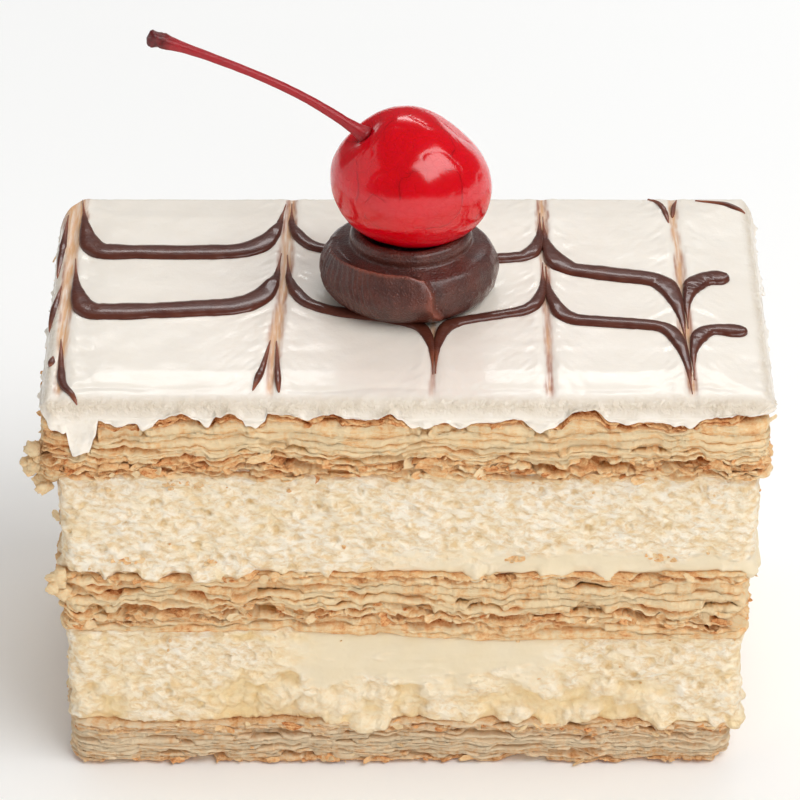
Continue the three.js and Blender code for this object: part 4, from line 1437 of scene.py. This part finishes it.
@dataclass
class Cherry:
    """The preserved cherry, a little lumpy, and the stem that comes out of its dimple.

    Attributes:
        middle: Its centre.
        half: Its half sizes.
        away: The way that the stem comes out.
        tip: Where the stem ends.
        bow: How far the middle of the stem's control line stands above a straight one.
        thick: Half thicknesses of the stem.
        along: Where along the stem they hold.
        dents: Hollows and swellings of the skin, each as its way, its width and how far it stands out.
    """

    middle: tuple[float, float, float] = (0.55, 0.9, 80.6)
    half: tuple[float, float, float] = (11.75, 11.3, 10.35)
    away: tuple[float, float, float] = (-0.7, 0.02, 0.71)
    tip: tuple[float, float, float] = (-37.2, 4.0, 101.5)
    bow: float = 3.9
    thick: tuple[float, ...] = (1.45, 1.0, 0.76, 0.66, 0.62, 0.6, 0.64, 0.74, 0.98, 1.25, 1.3, 0.9)
    along: tuple[float, ...] = (0, 0.04, 0.1, 0.25, 0.4, 0.55, 0.7, 0.82, 0.9, 0.955, 0.985, 1)
    dents: tuple[tuple[tuple[float, float, float], float, float], ...] = (
        ((-0.7, 0.02, 0.71), 0.05, -1.7),
        ((0.72, 0.15, 0.66), 0.14, -1.7),
        ((0.9, -0.3, -0.35), 0.1, 0.6),
        ((-0.3, -0.5, -0.75), 0.15, -0.4),
    )

    def reach(self, ways: np.ndarray) -> np.ndarray:
        """How far the skin lies from the centre.

        Args:
            ways: Unit vectors, of shape (..., 3).

        Returns:
            Millimetres, of shape (...).
        """
        reach = 1 / np.linalg.norm(ways / np.array(self.half), axis=-1)
        for way, width, rise in self.dents:
            close = ways @ (np.array(way) / np.linalg.norm(way))
            reach = reach + rise * np.exp((close - 1) / width)
        at = ways * 11
        crease = np.abs(noise(at + 0.8 * noise(at, 4, 113)[..., None], 4.5, 115))
        swell = 0.16 * noise(at, 8, 114) + 0.03 * noise(at, 2.2, 116)
        return reach + swell - 0.06 * (1 - ramp(crease, 0, 0.06))

    def build(self, fruit: SyrupedCherry, twig: DyedStem) -> None:
        """Builds the fruit and its stem and dresses both."""
        rings, segments = 100, 260
        tilt = np.pi * np.arange(1, rings + 1) / (rings + 1)
        turn = 2 * np.pi * np.arange(segments) / segments
        tilt, turn = np.meshgrid(tilt, turn, indexing="ij")
        ways = np.stack([np.sin(tilt) * np.cos(turn), np.sin(tilt) * np.sin(turn), np.cos(tilt)], axis=-1)
        middle = np.array(self.middle)
        ends = [middle + way * self.reach(way) for way in (np.array([0, 0, 1.0]), np.array([0, 0, -1.0]))]
        shell = Shell(segments, rings)
        shell.place(middle + ways * self.reach(ways)[..., None], *ends)
        dress(shell.piece, "cherry_fruit", fruit.material(), "cherry")
        self.build_stem(twig)

    def build_stem(self, twig: DyedStem) -> None:
        """Builds the ribbed stem with its flare and its torn knob, and dresses it."""
        steps, sides = 100, 28
        away = np.array(self.away) / np.linalg.norm(self.away)
        start = np.array(self.middle) + away * (self.reach(away) + 0.1)
        end = np.array(self.tip)
        control = (start + end) / 2 + [0, 0, self.bow]
        t = np.linspace(0, 1, steps)[:, None]
        line = start * (1 - t) ** 2 + 2 * control * t * (1 - t) + end * t**2
        line[:, 1] += 0.35 * np.sin(7 * t[:, 0])
        way = unit(np.gradient(line, axis=0))
        side = unit(np.cross([0, 1, 0], way))
        other = np.cross(way, side)
        half = np.interp(t[:, 0], self.along, self.thick)
        rings = []
        knob = ramp(t[:, 0], 0.86, 0.95)
        for k in range(sides):
            turn = 2 * math.pi * k / sides
            out = side * math.cos(turn) + other * math.sin(turn)
            at = line + out
            rib = 0.05 * math.sin(5 * turn) + 0.03 * math.sin(11 * turn + 1)
            torn = 0.28 * noise(at, 0.9, 122) + 0.16 * noise(at, 0.45, 123)
            rough = 0.06 * noise(at, 1.6, 121) + knob * torn
            rings.append(line + out * (half * (1 + rib + rough))[:, None])
        rings = np.stack(rings, axis=1)[::-1]
        shell = Shell(sides, steps)
        shell.place(rings, end + way[-1] * 0.3, start - way[0] * 0.6)
        shade = np.repeat((0.75 * knob + 0.3 * (1 - ramp(t[:, 0], 0, 0.03)))[::-1, None], sides, axis=1)
        shell.paint("end", shade, 1, 0.3)
        dress(shell.piece, "cherry_stem_twig", twig.material(), "cherry_stem")


@dataclass
class Rosette:
    """The piped ganache under the cherry: a fat coil, and a smaller one on it that cups the fruit.

    Attributes:
        middle: Its centre on the icing, from above.
        profile: Distances from the middle and heights above the icing, from the cup outwards and down.
        seam: Where the coil's end lies, as an angle from +X.
        lap: How much further out the lapped side stands.
        lip: How far from the middle the outer coil's raised lip lies.
        cup: Height of the cup's own middle above the icing.
        rows: Points along the profile.
        segments: Points round it.
    """

    middle: tuple[float, float] = (0.5, 0.9)
    profile: tuple[tuple[float, float], ...] = (
        (3.0, 7.9),
        (6.0, 9.1),
        (7.8, 10.5),
        (8.8, 10.1),
        (9.1, 9.0),
        (8.8, 8.1),
        (10.3, 7.6),
        (11.9, 7.2),
        (13.0, 5.8),
        (13.5, 3.6),
        (12.9, 1.6),
        (11.6, 0.4),
        (10.2, 0.0),
    )
    seam: float = -1.33
    lap: float = 1.1
    lip: float = 11.9
    cup: float = 7.6
    rows: int = 96
    segments: int = 440

    def build(self, finish: SetChocolate) -> None:
        """Builds the rosette and dresses it."""
        known = np.array(self.profile)
        run = np.concatenate([[0], np.cumsum(np.linalg.norm(np.diff(known, axis=0), axis=1))])
        at = np.linspace(0, run[-1], self.rows)
        away, height = [smoothed(np.interp(at, run, known[:, k]), 5) for k in (0, 1)]
        # How far round the coil each place is, from its seam, which leans as it goes up
        wound = np.arange(self.segments) / self.segments
        outer = np.sin(np.pi * np.clip(height / 8.2, 0, 1))[:, None]
        slant = -0.026 * (height - 4)[:, None] + 0.03 * np.sin(1.3 * height)[:, None]
        turned = (wound[None, :] - slant / (2 * np.pi)) % 1.0
        step = self.lap * (turned - 0.72) + 0.5 * self.lap * np.exp(-((1 - turned) / 0.035) ** 2)
        step = np.where(turned < 0.012, step + (self.lap * 1.4) * (1 - turned / 0.012), step)
        turn = self.seam + 2 * np.pi * wound[None, :] + 0 * away[:, None]
        x, y = np.cos(turn), np.sin(turn)
        spot = np.stack([12 * x, 12 * y, height[:, None] + 0 * x], axis=-1)
        left = ramp(-x, -0.1, 0.6)
        # Folds and creases that the nozzle leaves, deepest on the left
        fan = ramp(turned, 0.5, 0.62) * (1 - ramp(turned, 0.7, 0.8)) * ramp(height, 3, 6)[:, None]
        creases = 0.11 * np.sin(70 * turn + 3 * height[:, None] + 6 * noise(spot, 3.5, 135)) * left
        creases = creases + (0.16 + 0.45 * fan) * noise(spot * [1, 1, 0.25], 1.2, 134)
        swell = 0.28 * noise(spot, 8, 131) + 0.12 * noise(spot, 2.6, 132)
        reach = away[:, None] + outer * (step + creases) + swell * np.clip(away[:, None] / 6, 0, 1)
        # A raised lip on the outer coil, strongest just before the seam
        outwards = slice(60)
        lip_at = np.interp(self.lip, away[outwards], at[outwards])
        lip = np.clip(1 - np.abs(at - lip_at)[:, None] / 1.5, 0, 1) ** 1.3
        raised = ramp(turned, 0.66, 0.9) * (1 - 0.6 * ramp(turned, 0.965, 1))
        lift = 0.5 * (wound[None, :] - 0.5) * outer + 1.4 * lip * raised
        z = SLICE.height + height[:, None] + lift + 0 * x
        rings = np.stack([self.middle[0] + reach * x, self.middle[1] + reach * y, z], axis=-1)
        shell = Shell(self.segments, self.rows)
        top = [*self.middle, SLICE.height + self.cup]
        shell.place(rings, top, [*self.middle, SLICE.height])
        # Painted highlights: the coil's seam and its raised lip are painted paler where their edges catch the
        # light; the noise is bloom
        seam = np.exp(-((np.minimum(turned, 1 - turned) / 0.01) ** 2)) * outer
        worn = 0.6 * seam + 0.5 * (lip > 0.8) * ramp(turned, 0.66, 0.9) + 0.15 * noise(spot, 3, 133)
        shell.paint("worn", np.clip(worn, 0, 1), 0, 0)
        dress(shell.piece, "chocolate_rosette_ganache", finish.material(), "chocolate_rosette")


class Bit(Enum):
    """Kinds of small loose bit."""

    FLAKE = "flake"
    CRUMB = "crumb"
    LUMP = "lump"


@dataclass
class Scatter:
    """Many small loose bits as one mesh: one is modelled and copied, and each copy is torn its own way.

    Attributes:
        kind: What they are.
        jag: How ragged they are, as a share of their size.
        middles: Where they lie.
        axes: Their three half sizes, each as a row that points its way.
        bends: How far each is curled, in millimetres.
        values: How brown each is.
    """

    kind: Bit
    jag: float
    middles: list[np.ndarray] = field(default_factory=list)
    axes: list[np.ndarray] = field(default_factory=list)
    bends: list[float] = field(default_factory=list)
    values: list[float] = field(default_factory=list)

    def model(self) -> tuple[np.ndarray, list[tuple[int, ...]]]:
        """Models one bit with a radius of 1 and removes it again.

        Returns:
            Its points and its faces.
        """
        deselect_all()
        if self.kind is Bit.FLAKE:
            bpy.ops.mesh.primitive_cylinder_add(vertices=9, radius=1, depth=2, end_fill_type="TRIFAN")
        else:
            segments, rings = (7, 4) if self.kind is Bit.CRUMB else (18, 10)
            bpy.ops.mesh.primitive_uv_sphere_add(segments=segments, ring_count=rings, radius=1)
        one = bpy.context.active_object
        points = np.array([vertex.co for vertex in one.data.vertices])
        faces = [tuple(face.vertices) for face in one.data.polygons]
        bpy.data.objects.remove(one)
        return points, faces

    def add(self, middle: np.ndarray, axes: np.ndarray, bend: float, value: float) -> None:
        """Adds one bit.

        Args:
            middle: Where it lies.
            axes: Its three half sizes, each as a row that points its way.
            bend: How far it is curled, in millimetres.
            value: How brown it is, from 0 to 1.
        """
        self.middles.append(middle)
        self.axes.append(axes)
        self.bends.append(bend)
        self.values.append(value)

    def build(self, material: bpy.types.Material) -> None:
        """Makes the mesh and dresses it."""
        points, faces = self.model()
        count, size = len(self.middles), len(points)
        squashed = points * [1, 1, 0.2 if self.kind is Bit.FLAKE else 1]
        places = squashed[None] + 10.0 * np.arange(count)[:, None, None]
        shape = points[None] * (1 + self.jag * noise(places, 0.6, 141))[..., None]
        spots = np.array(self.middles)[:, None] + shape @ np.array(self.axes)
        spots[..., 2] += np.array(self.bends)[:, None] * (shape[..., 0] ** 2 - 0.4)
        values = np.clip(np.array(self.values)[:, None] + 0.12 * noise(places, 0.9, 142), 0, 1)
        joined_faces = [tuple(v + k * size for v in face) for k in range(count) for face in faces]
        name = f"pastry_{self.kind.value}s"
        mesh = bpy.data.meshes.new(name)
        mesh.from_pydata((spots.reshape(-1, 3) * MM).tolist(), [], joined_faces)
        store(mesh, "bake", values.ravel())
        if self.kind is not Bit.FLAKE:
            mesh.shade_smooth()
        piece = bpy.data.objects.new(name, mesh)
        bpy.context.scene.collection.objects.link(piece)
        dress(piece, name, material, None)


def tilted(
    out: np.ndarray,
    sizes: np.ndarray,
    draw: np.random.Generator,
    lean: float,
    tilt: float,
) -> np.ndarray:
    """Half sizes of a bit that points about outwards.

    Args:
        out: The way out of the cut face.
        sizes: Its half sizes: outwards, sideways and up.
        draw: Where random numbers come from.
        lean: How far it hangs on the whole, in radians.
        tilt: How far from that it may lean either way, in radians.

    Returns:
        Three rows, one for each half size.
    """
    spin = draw.uniform(-0.9, 0.9)
    way = np.array([[math.cos(spin), math.sin(spin)], [-math.sin(spin), math.cos(spin)]])
    first = np.array([*(out @ way), -math.tan(lean + draw.uniform(-tilt, tilt))])
    first /= np.linalg.norm(first)
    side = np.cross([0, 0, 1.0], first)
    side[2] = math.tan(draw.uniform(-tilt, tilt))
    side -= first * np.dot(side, first)
    side /= np.linalg.norm(side)
    return np.stack([first * sizes[0], side * sizes[1], np.cross(first, side) * sizes[2]])


@dataclass
class LooseBits:
    """Flakes that stand out of the pastry, crumbs on the cream, and lumps of soft dough by the ends.

    Attributes:
        sheets: The sheets that shed them.
        creams: The layers that they stick to.
        flakes: How many flakes stand out of each sheet.
        scales: How many broader ones lie flat on each sheet's crisp leaves.
        crumbs: How many crumbs lie on each layer of cream.
        stuck: Where flakes cling to the front of the upper cream, each as x, z and how far they spread.
        clumps: Lumps of soft dough, each as its place and how far its lumps spread.
    """

    sheets: list[PastrySheet]
    creams: list[CreamLayer]
    flakes: int = 170
    scales: int = 130
    crumbs: int = 34
    stuck: tuple[tuple[float, float, float], ...] = (
        (-33.9, 48.4, 1.6),
        (-30.3, 48.0, 0.9),
        (-40.5, 35.6, 1.6),
        (-28.5, 35.2, 0.8),
        (15.5, 35.7, 1.0),
        (36.3, 36.0, 1.8),
    )
    clumps: tuple[tuple[tuple[float, float, float], tuple[float, float, float]], ...] = (
        ((-53.4, -28.5, 50.6), (1.1, 1.2, 1.9)),
        ((-52.2, -29.5, 47.6), (0.8, 0.8, 1.2)),
        ((-50.6, -31.6, 31.5), (0.8, 0.6, 2.0)),
        ((52.6, 8.0, 50.6), (0.5, 2.0, 0.8)),
        ((-22.0, 32.6, 50.8), (2.2, 0.5, 0.9)),
    )

    def shed_flakes(self, draw: np.random.Generator) -> Scatter:
        """Sticks flakes into the crevices of the sheets, most of them where the pastry is crisp."""
        flakes = Scatter(Bit.FLAKE, 0.55)
        for sheet in self.sheets:
            odds = np.array([0.02 + (kind.chipped > 0.6) * kind.chipped for kind in sheet.leaves])
            numbers = draw.choice(len(odds), self.flakes + self.scales, p=odds / odds.sum())
            for rank, number in enumerate(numbers):
                i = draw.integers(sheet.columns)
                kind = sheet.leaves[number]
                flat = rank < self.scales
                size = draw.uniform(0.25, 0.85 + 0.3 * flat) * np.array([0.8, draw.uniform(0.8, 2.2), 0])
                size = size * (0.6 if sheet.place is Pastry.BOTTOM else 1)
                size[2] = draw.uniform(0.03, 0.07)
                z = sheet.lower[number, i] + draw.uniform(-0.2, 0.4)
                z = max(z, 0.5 + (0.9 if flat else 0.4) * size[0])
                out = sheet.out[number, i] + draw.uniform(-0.5, 0.35) - (0 if flat else 0.3 * size[0])
                under_icing = FRONT_EDGE.below(sheet.base[i, 0]) > SLICE.icing_floor - z - 1.5
                if under_icing and sheet.base[i, 1] < -20:
                    continue
                middle = np.array([*(sheet.base[i] + sheet.ways[i] * out), z])
                axes = tilted(sheet.ways[i], size, draw, 1.15 if flat else 0.2, 0.45)
                brown = kind.bake + draw.uniform(-0.25, 0.35)
                flakes.add(middle, axes, draw.uniform(-0.3, 0.3) * size[0], brown)
        front = np.array([0.0, -1.0])
        for x, z, spread in self.stuck:
            for _ in range(9):
                aside, up = [draw.normal(0, share * spread) for share in (0.5, 0.25)]
                spot = np.array([x + aside, -SLICE.depth / 2, z + up])
                spot[1] -= self.creams[0].relief(spot[None])[0]
                size = draw.uniform(0.25, 0.6) * np.array([0.7, draw.uniform(0.8, 1.8), 0.1])
                axes = tilted(front, size, draw, 1.15, 0.4)
                flakes.add(spot, axes, draw.uniform(-0.3, 0.3) * size[0], draw.uniform(0.0, 0.35))
        return flakes

    def shed_crumbs(self, draw: np.random.Generator) -> Scatter:
        """Sticks crumbs to the creams, most of them close under or over a sheet."""
        crumbs = Scatter(Bit.CRUMB, 0.5)
        for layer in self.creams:
            base, ways = layer.outline.stations(2000)
            spots = draw.integers(2000, size=self.crumbs)
            close = draw.random(self.crumbs) < 0.6
            by_sheet = draw.integers(2, size=self.crumbs) + draw.normal(0, 0.09, self.crumbs)
            share = np.where(close, by_sheet, draw.random(self.crumbs))
            z = layer.floor + (layer.ceiling - layer.floor) * np.clip(share, 0.04, 0.96)
            faces = layer.relief(np.column_stack([base[spots], z]))
            for i, height, face in zip(spots, z, faces):
                size = draw.uniform(0.1, 0.36) * np.array([0.7, *draw.uniform([0.8, 0.6], [1.8, 1.1])])
                middle = np.array([*(base[i] + ways[i] * (face + 0.2 * size[0])), height])
                crumbs.add(middle, tilted(ways[i], size, draw, 0, 0.8), 0, draw.uniform(0.05, 0.4))
        return crumbs

    def drop_lumps(self, draw: np.random.Generator) -> Scatter:
        """Presses lumps of soft dough to the ends of the slice."""
        lumps = Scatter(Bit.LUMP, 0.4)
        for place, spread in self.clumps:
            for _ in range(14):
                middle = np.array(place) + draw.uniform(-1, 1, 3) * spread
                size = draw.uniform(0.4, 1.4) * np.array([1, *draw.uniform([0.7, 0.6], [1.3, 1.1])])
                lumps.add(middle, tilted(np.array([1.0, 0]), size, draw, 0, 0.9), 0, draw.uniform(0.0, 0.1))
        return lumps

    def build(self, finish: BakedPuffPastry) -> None:
        """Builds every kind of bit."""
        draw = np.random.default_rng(7)
        for scatter in (self.shed_flakes(draw), self.shed_crumbs(draw), self.drop_lumps(draw)):
            scatter.build(finish.material())


@dataclass
class Studio:
    """A pale floor, soft white lights and the camera at the photograph's place.

    Attributes:
        aim: What the camera looks at.
        distance: From the camera to there.
        elevation: Of the camera above the horizon, in degrees.
        focal: Focal length in pixels of the frame.
        frame: How many pixels wide the frame is.
    """

    aim: tuple[float, float, float] = (-1.06, -32.1, 62.3)
    distance: float = 559.0
    elevation: float = 30.0
    focal: float = 3972.0
    frame: float = 800.0

    def camera(self) -> None:
        """Adds the camera."""
        up = math.radians(self.elevation)
        back = np.array([0, -math.cos(up), math.sin(up)])
        spot = (np.array(self.aim) + self.distance * back) * MM
        bpy.ops.object.camera_add(location=spot, rotation=(math.pi / 2 - up, 0, 0))
        camera = bpy.context.active_object
        camera.data.sensor_width = 36
        camera.data.lens = 36 * self.focal / self.frame
        camera.data.clip_start = 0.01
        bpy.context.scene.camera = camera

    def light(
        self,
        name: str,
        way: tuple[float, float, float],
        away: float,
        size: tuple[float, float],
        power: float,
        mirrored: bool = True,
    ) -> None:
        """Adds one softbox that faces the slice.

        Args:
            name: What it is called.
            way: The way from the slice to it.
            away: Its distance in metres.
            size: Its width and height in metres.
            power: How bright it alone makes a white card at the slice that faces it.
            mirrored: Whether glossy things mirror it.
        """
        aim = Vector((0, 0, 0.06))
        spot = aim + Vector(way).normalized() * away
        bpy.ops.object.light_add(type="AREA", location=spot)
        lamp = bpy.context.active_object
        lamp.name = name
        lamp.rotation_euler = (aim - spot).to_track_quat("-Z", "Y").to_euler()
        lamp.data.shape = "RECTANGLE"
        lamp.data.size, lamp.data.size_y = size
        lamp.data.energy = power * (math.pi * away) ** 2
        lamp.visible_glossy = mirrored

    def build(self) -> None:
        """Builds the floor, the lights and the camera."""
        deselect_all()
        bpy.ops.mesh.primitive_plane_add(size=8, location=(0, 0, 0))
        floor = bpy.context.active_object
        floor.name = "studio_floor"
        material = bpy.data.materials.new("white paper")
        material.use_nodes = True
        shader = material.node_tree.nodes["Principled BSDF"]
        shader.inputs["Base Color"].default_value = linear("#fcfcfb")
        shader.inputs["Roughness"].default_value = 0.9
        shader.inputs["Specular IOR Level"].default_value = 0.0
        floor.data.materials.append(material)
        floor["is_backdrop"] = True
        world = bpy.data.worlds.new("studio")
        world.use_nodes = True
        world.node_tree.nodes["Background"].inputs["Color"].default_value = linear("#ffffff")
        world.node_tree.nodes["Background"].inputs["Strength"].default_value = 0.1
        bpy.context.scene.world = world
        self.light("softbox_right", (0.54, -0.34, 0.77), 1.3, (1.3, 0.9), 0.85)
        self.light("softbox_left", (-1.0, 0.05, 0.32), 1.8, (2.0, 2.0), 0.2)
        self.light("softbox_top", (0.0, 0.75, 1.0), 2.0, (3.2, 2.4), 0.55, False)
        self.light("strip_behind", (0.1, 1.0, 0.74), 2.0, (1.0, 0.25), 0.11)
        self.light("softbox_front", (-0.1, -1.0, 0.14), 2.0, (3.0, 0.7), 0.47, False)
        bpy.context.scene.view_settings.view_transform = "Standard"
        self.camera()


def main() -> None:
    """Builds the slice from its frame outwards."""
    logging.basicConfig(level=logging.INFO, format="%(name)s: %(message)s")
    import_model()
    cad_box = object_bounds()
    top = PastrySheet(
        Pastry.TOP,
        SLICE.top_pastry_floor,
        SLICE.icing_floor - SLICE.seat,
        Outline(104.8, -0.3),
        (
            Leaves(3, 0.27, 0.12, 0.3, 1.3, 0.35, 0.9, 0.8, -0.1, 0.34, 0.95),
            Leaves(3, 0.9, 0.02, 0.2, 1.2, 0.1, 0.35, 0.3, 0.05, 0.06, 0.75),
            Leaves(3, 0.5, 0.06, 0.4, 1.5, 0.15, 0.65, 0.5, 0.15, 0.1, 0.85),
            Leaves(1, 0.4, 0.6, 0.7, 3.0, 0.15, 0.9, 0.7, 0.2, 0.18, 1.0),
            Leaves(4, 0.3, 0.24, 0.7, 2.4, 0.4, 1.3, 0.75, 0.6, 0.19, 1.0),
            Leaves(1, 0.4, 0.0, 0.0, 0.0, 0.6, 0.9, 0.8, 0.5, 0.16, 0.8),
        ),
    )
    middle = PastrySheet(
        Pastry.MIDDLE,
        SLICE.middle_pastry_floor,
        SLICE.upper_cream_floor,
        Outline(101.6, -0.4),
        (
            Leaves(2, 0.3, 0.18, 0.4, 1.6, 0.3, 0.9, 0.8, 0.25, 0.2, 0.95),
            Leaves(3, 0.9, 0.03, 0.6, 2.4, 0.1, 0.6, 0.5, 0.2, 0.05, 0.95),
            Leaves(2, 0.7, 0.05, 0.8, 2.8, 0.15, 0.75, 0.55, 0.3, 0.06, 1.0),
            Leaves(1, 0.35, 0.45, 0.8, 3.0, 0.0, 0.7, 0.7, 0.1, 0.2, 1.0),
            Leaves(3, 0.3, 0.2, 0.6, 2.2, 0.25, 1.1, 0.75, 0.4, 0.19, 1.0),
            Leaves(2, 0.75, 0.03, 0.1, 0.6, 0.3, 0.4, 0.3, 0.1, 0.1, 0.4),
        ),
    )
    bottom = PastrySheet(
        Pastry.BOTTOM,
        0,
        SLICE.lower_cream_floor,
        Outline(99.1, -1.0),
        (
            Leaves(3, 0.28, 0.14, 0.3, 1.2, 0.2, 0.7, 0.9, 0.15, 0.16, 0.85),
            Leaves(9, 0.5, 0.0, 0.5, 1.6, 0.08, 0.65, 0.45, 0.05, 0.1, 0.55),
            Leaves(1, 0.5, 0.0, 0.0, 0.0, 0.0, 0.9, 0.7, 0.0, 0.3, 0.6),
        ),
        curl=0.4,
    )
    golden = BakedPuffPastry("baked puff pastry", 0.72, 0.35)
    dense = BakedPuffPastry(
        "dense puff pastry",
        0.72,
        0.35,
        stops=((0.0, "#e7d0ae"), (0.2, "#e5c298"), (0.42, "#dca772"), (0.68, "#b06e38"), (1.0, "#5e2c13")),
    )
    for sheet, finish in ((top, golden), (middle, golden), (bottom, dense)):
        sheet.build(finish)
    upper = CreamLayer(
        Cream.UPPER,
        SLICE.upper_cream_floor,
        SLICE.top_pastry_floor,
        Outline(102.2, 0.2),
        yolk=0.12,
    )
    lower = CreamLayer(
        Cream.LOWER,
        SLICE.lower_cream_floor,
        SLICE.middle_pastry_floor,
        Outline(100.7, -0.2),
        yolk=0.24,
    )
    custard = CustardCream("custard cream", 0.5, 0.25)
    upper.build(custard)
    lower.build(custard)
    icing = Icing()
    icing.build(Fondant("poured fondant icing", 0.38, 0.5, 0.3))
    Feathering(icing).build(SetChocolate("chocolate glaze", 0.34, 0.3, coat=0.5, dull=0.13))
    ganache = SetChocolate(
        "chocolate ganache",
        0.3,
        coat=0.6,
        dull=0.25,
        dark="#2c0b07",
        light="#98503c",
        speck=0.5,
        grain=0.35,
    )
    Rosette().build(ganache)
    Cherry().build(SyrupedCherry("cherry in syrup", 0.3, 0.0, 1.8), DyedStem("dyed cherry stem", 0.3, 0.6))
    LooseBits([top, middle, bottom], [upper, lower]).build(golden)
    Studio().build()
    boxes = {"cad": cad_box, "scene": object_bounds()}
    {name: [list(corner) for corner in box] for name, box in boxes.items()}


if __name__ == "__main__":
    main()
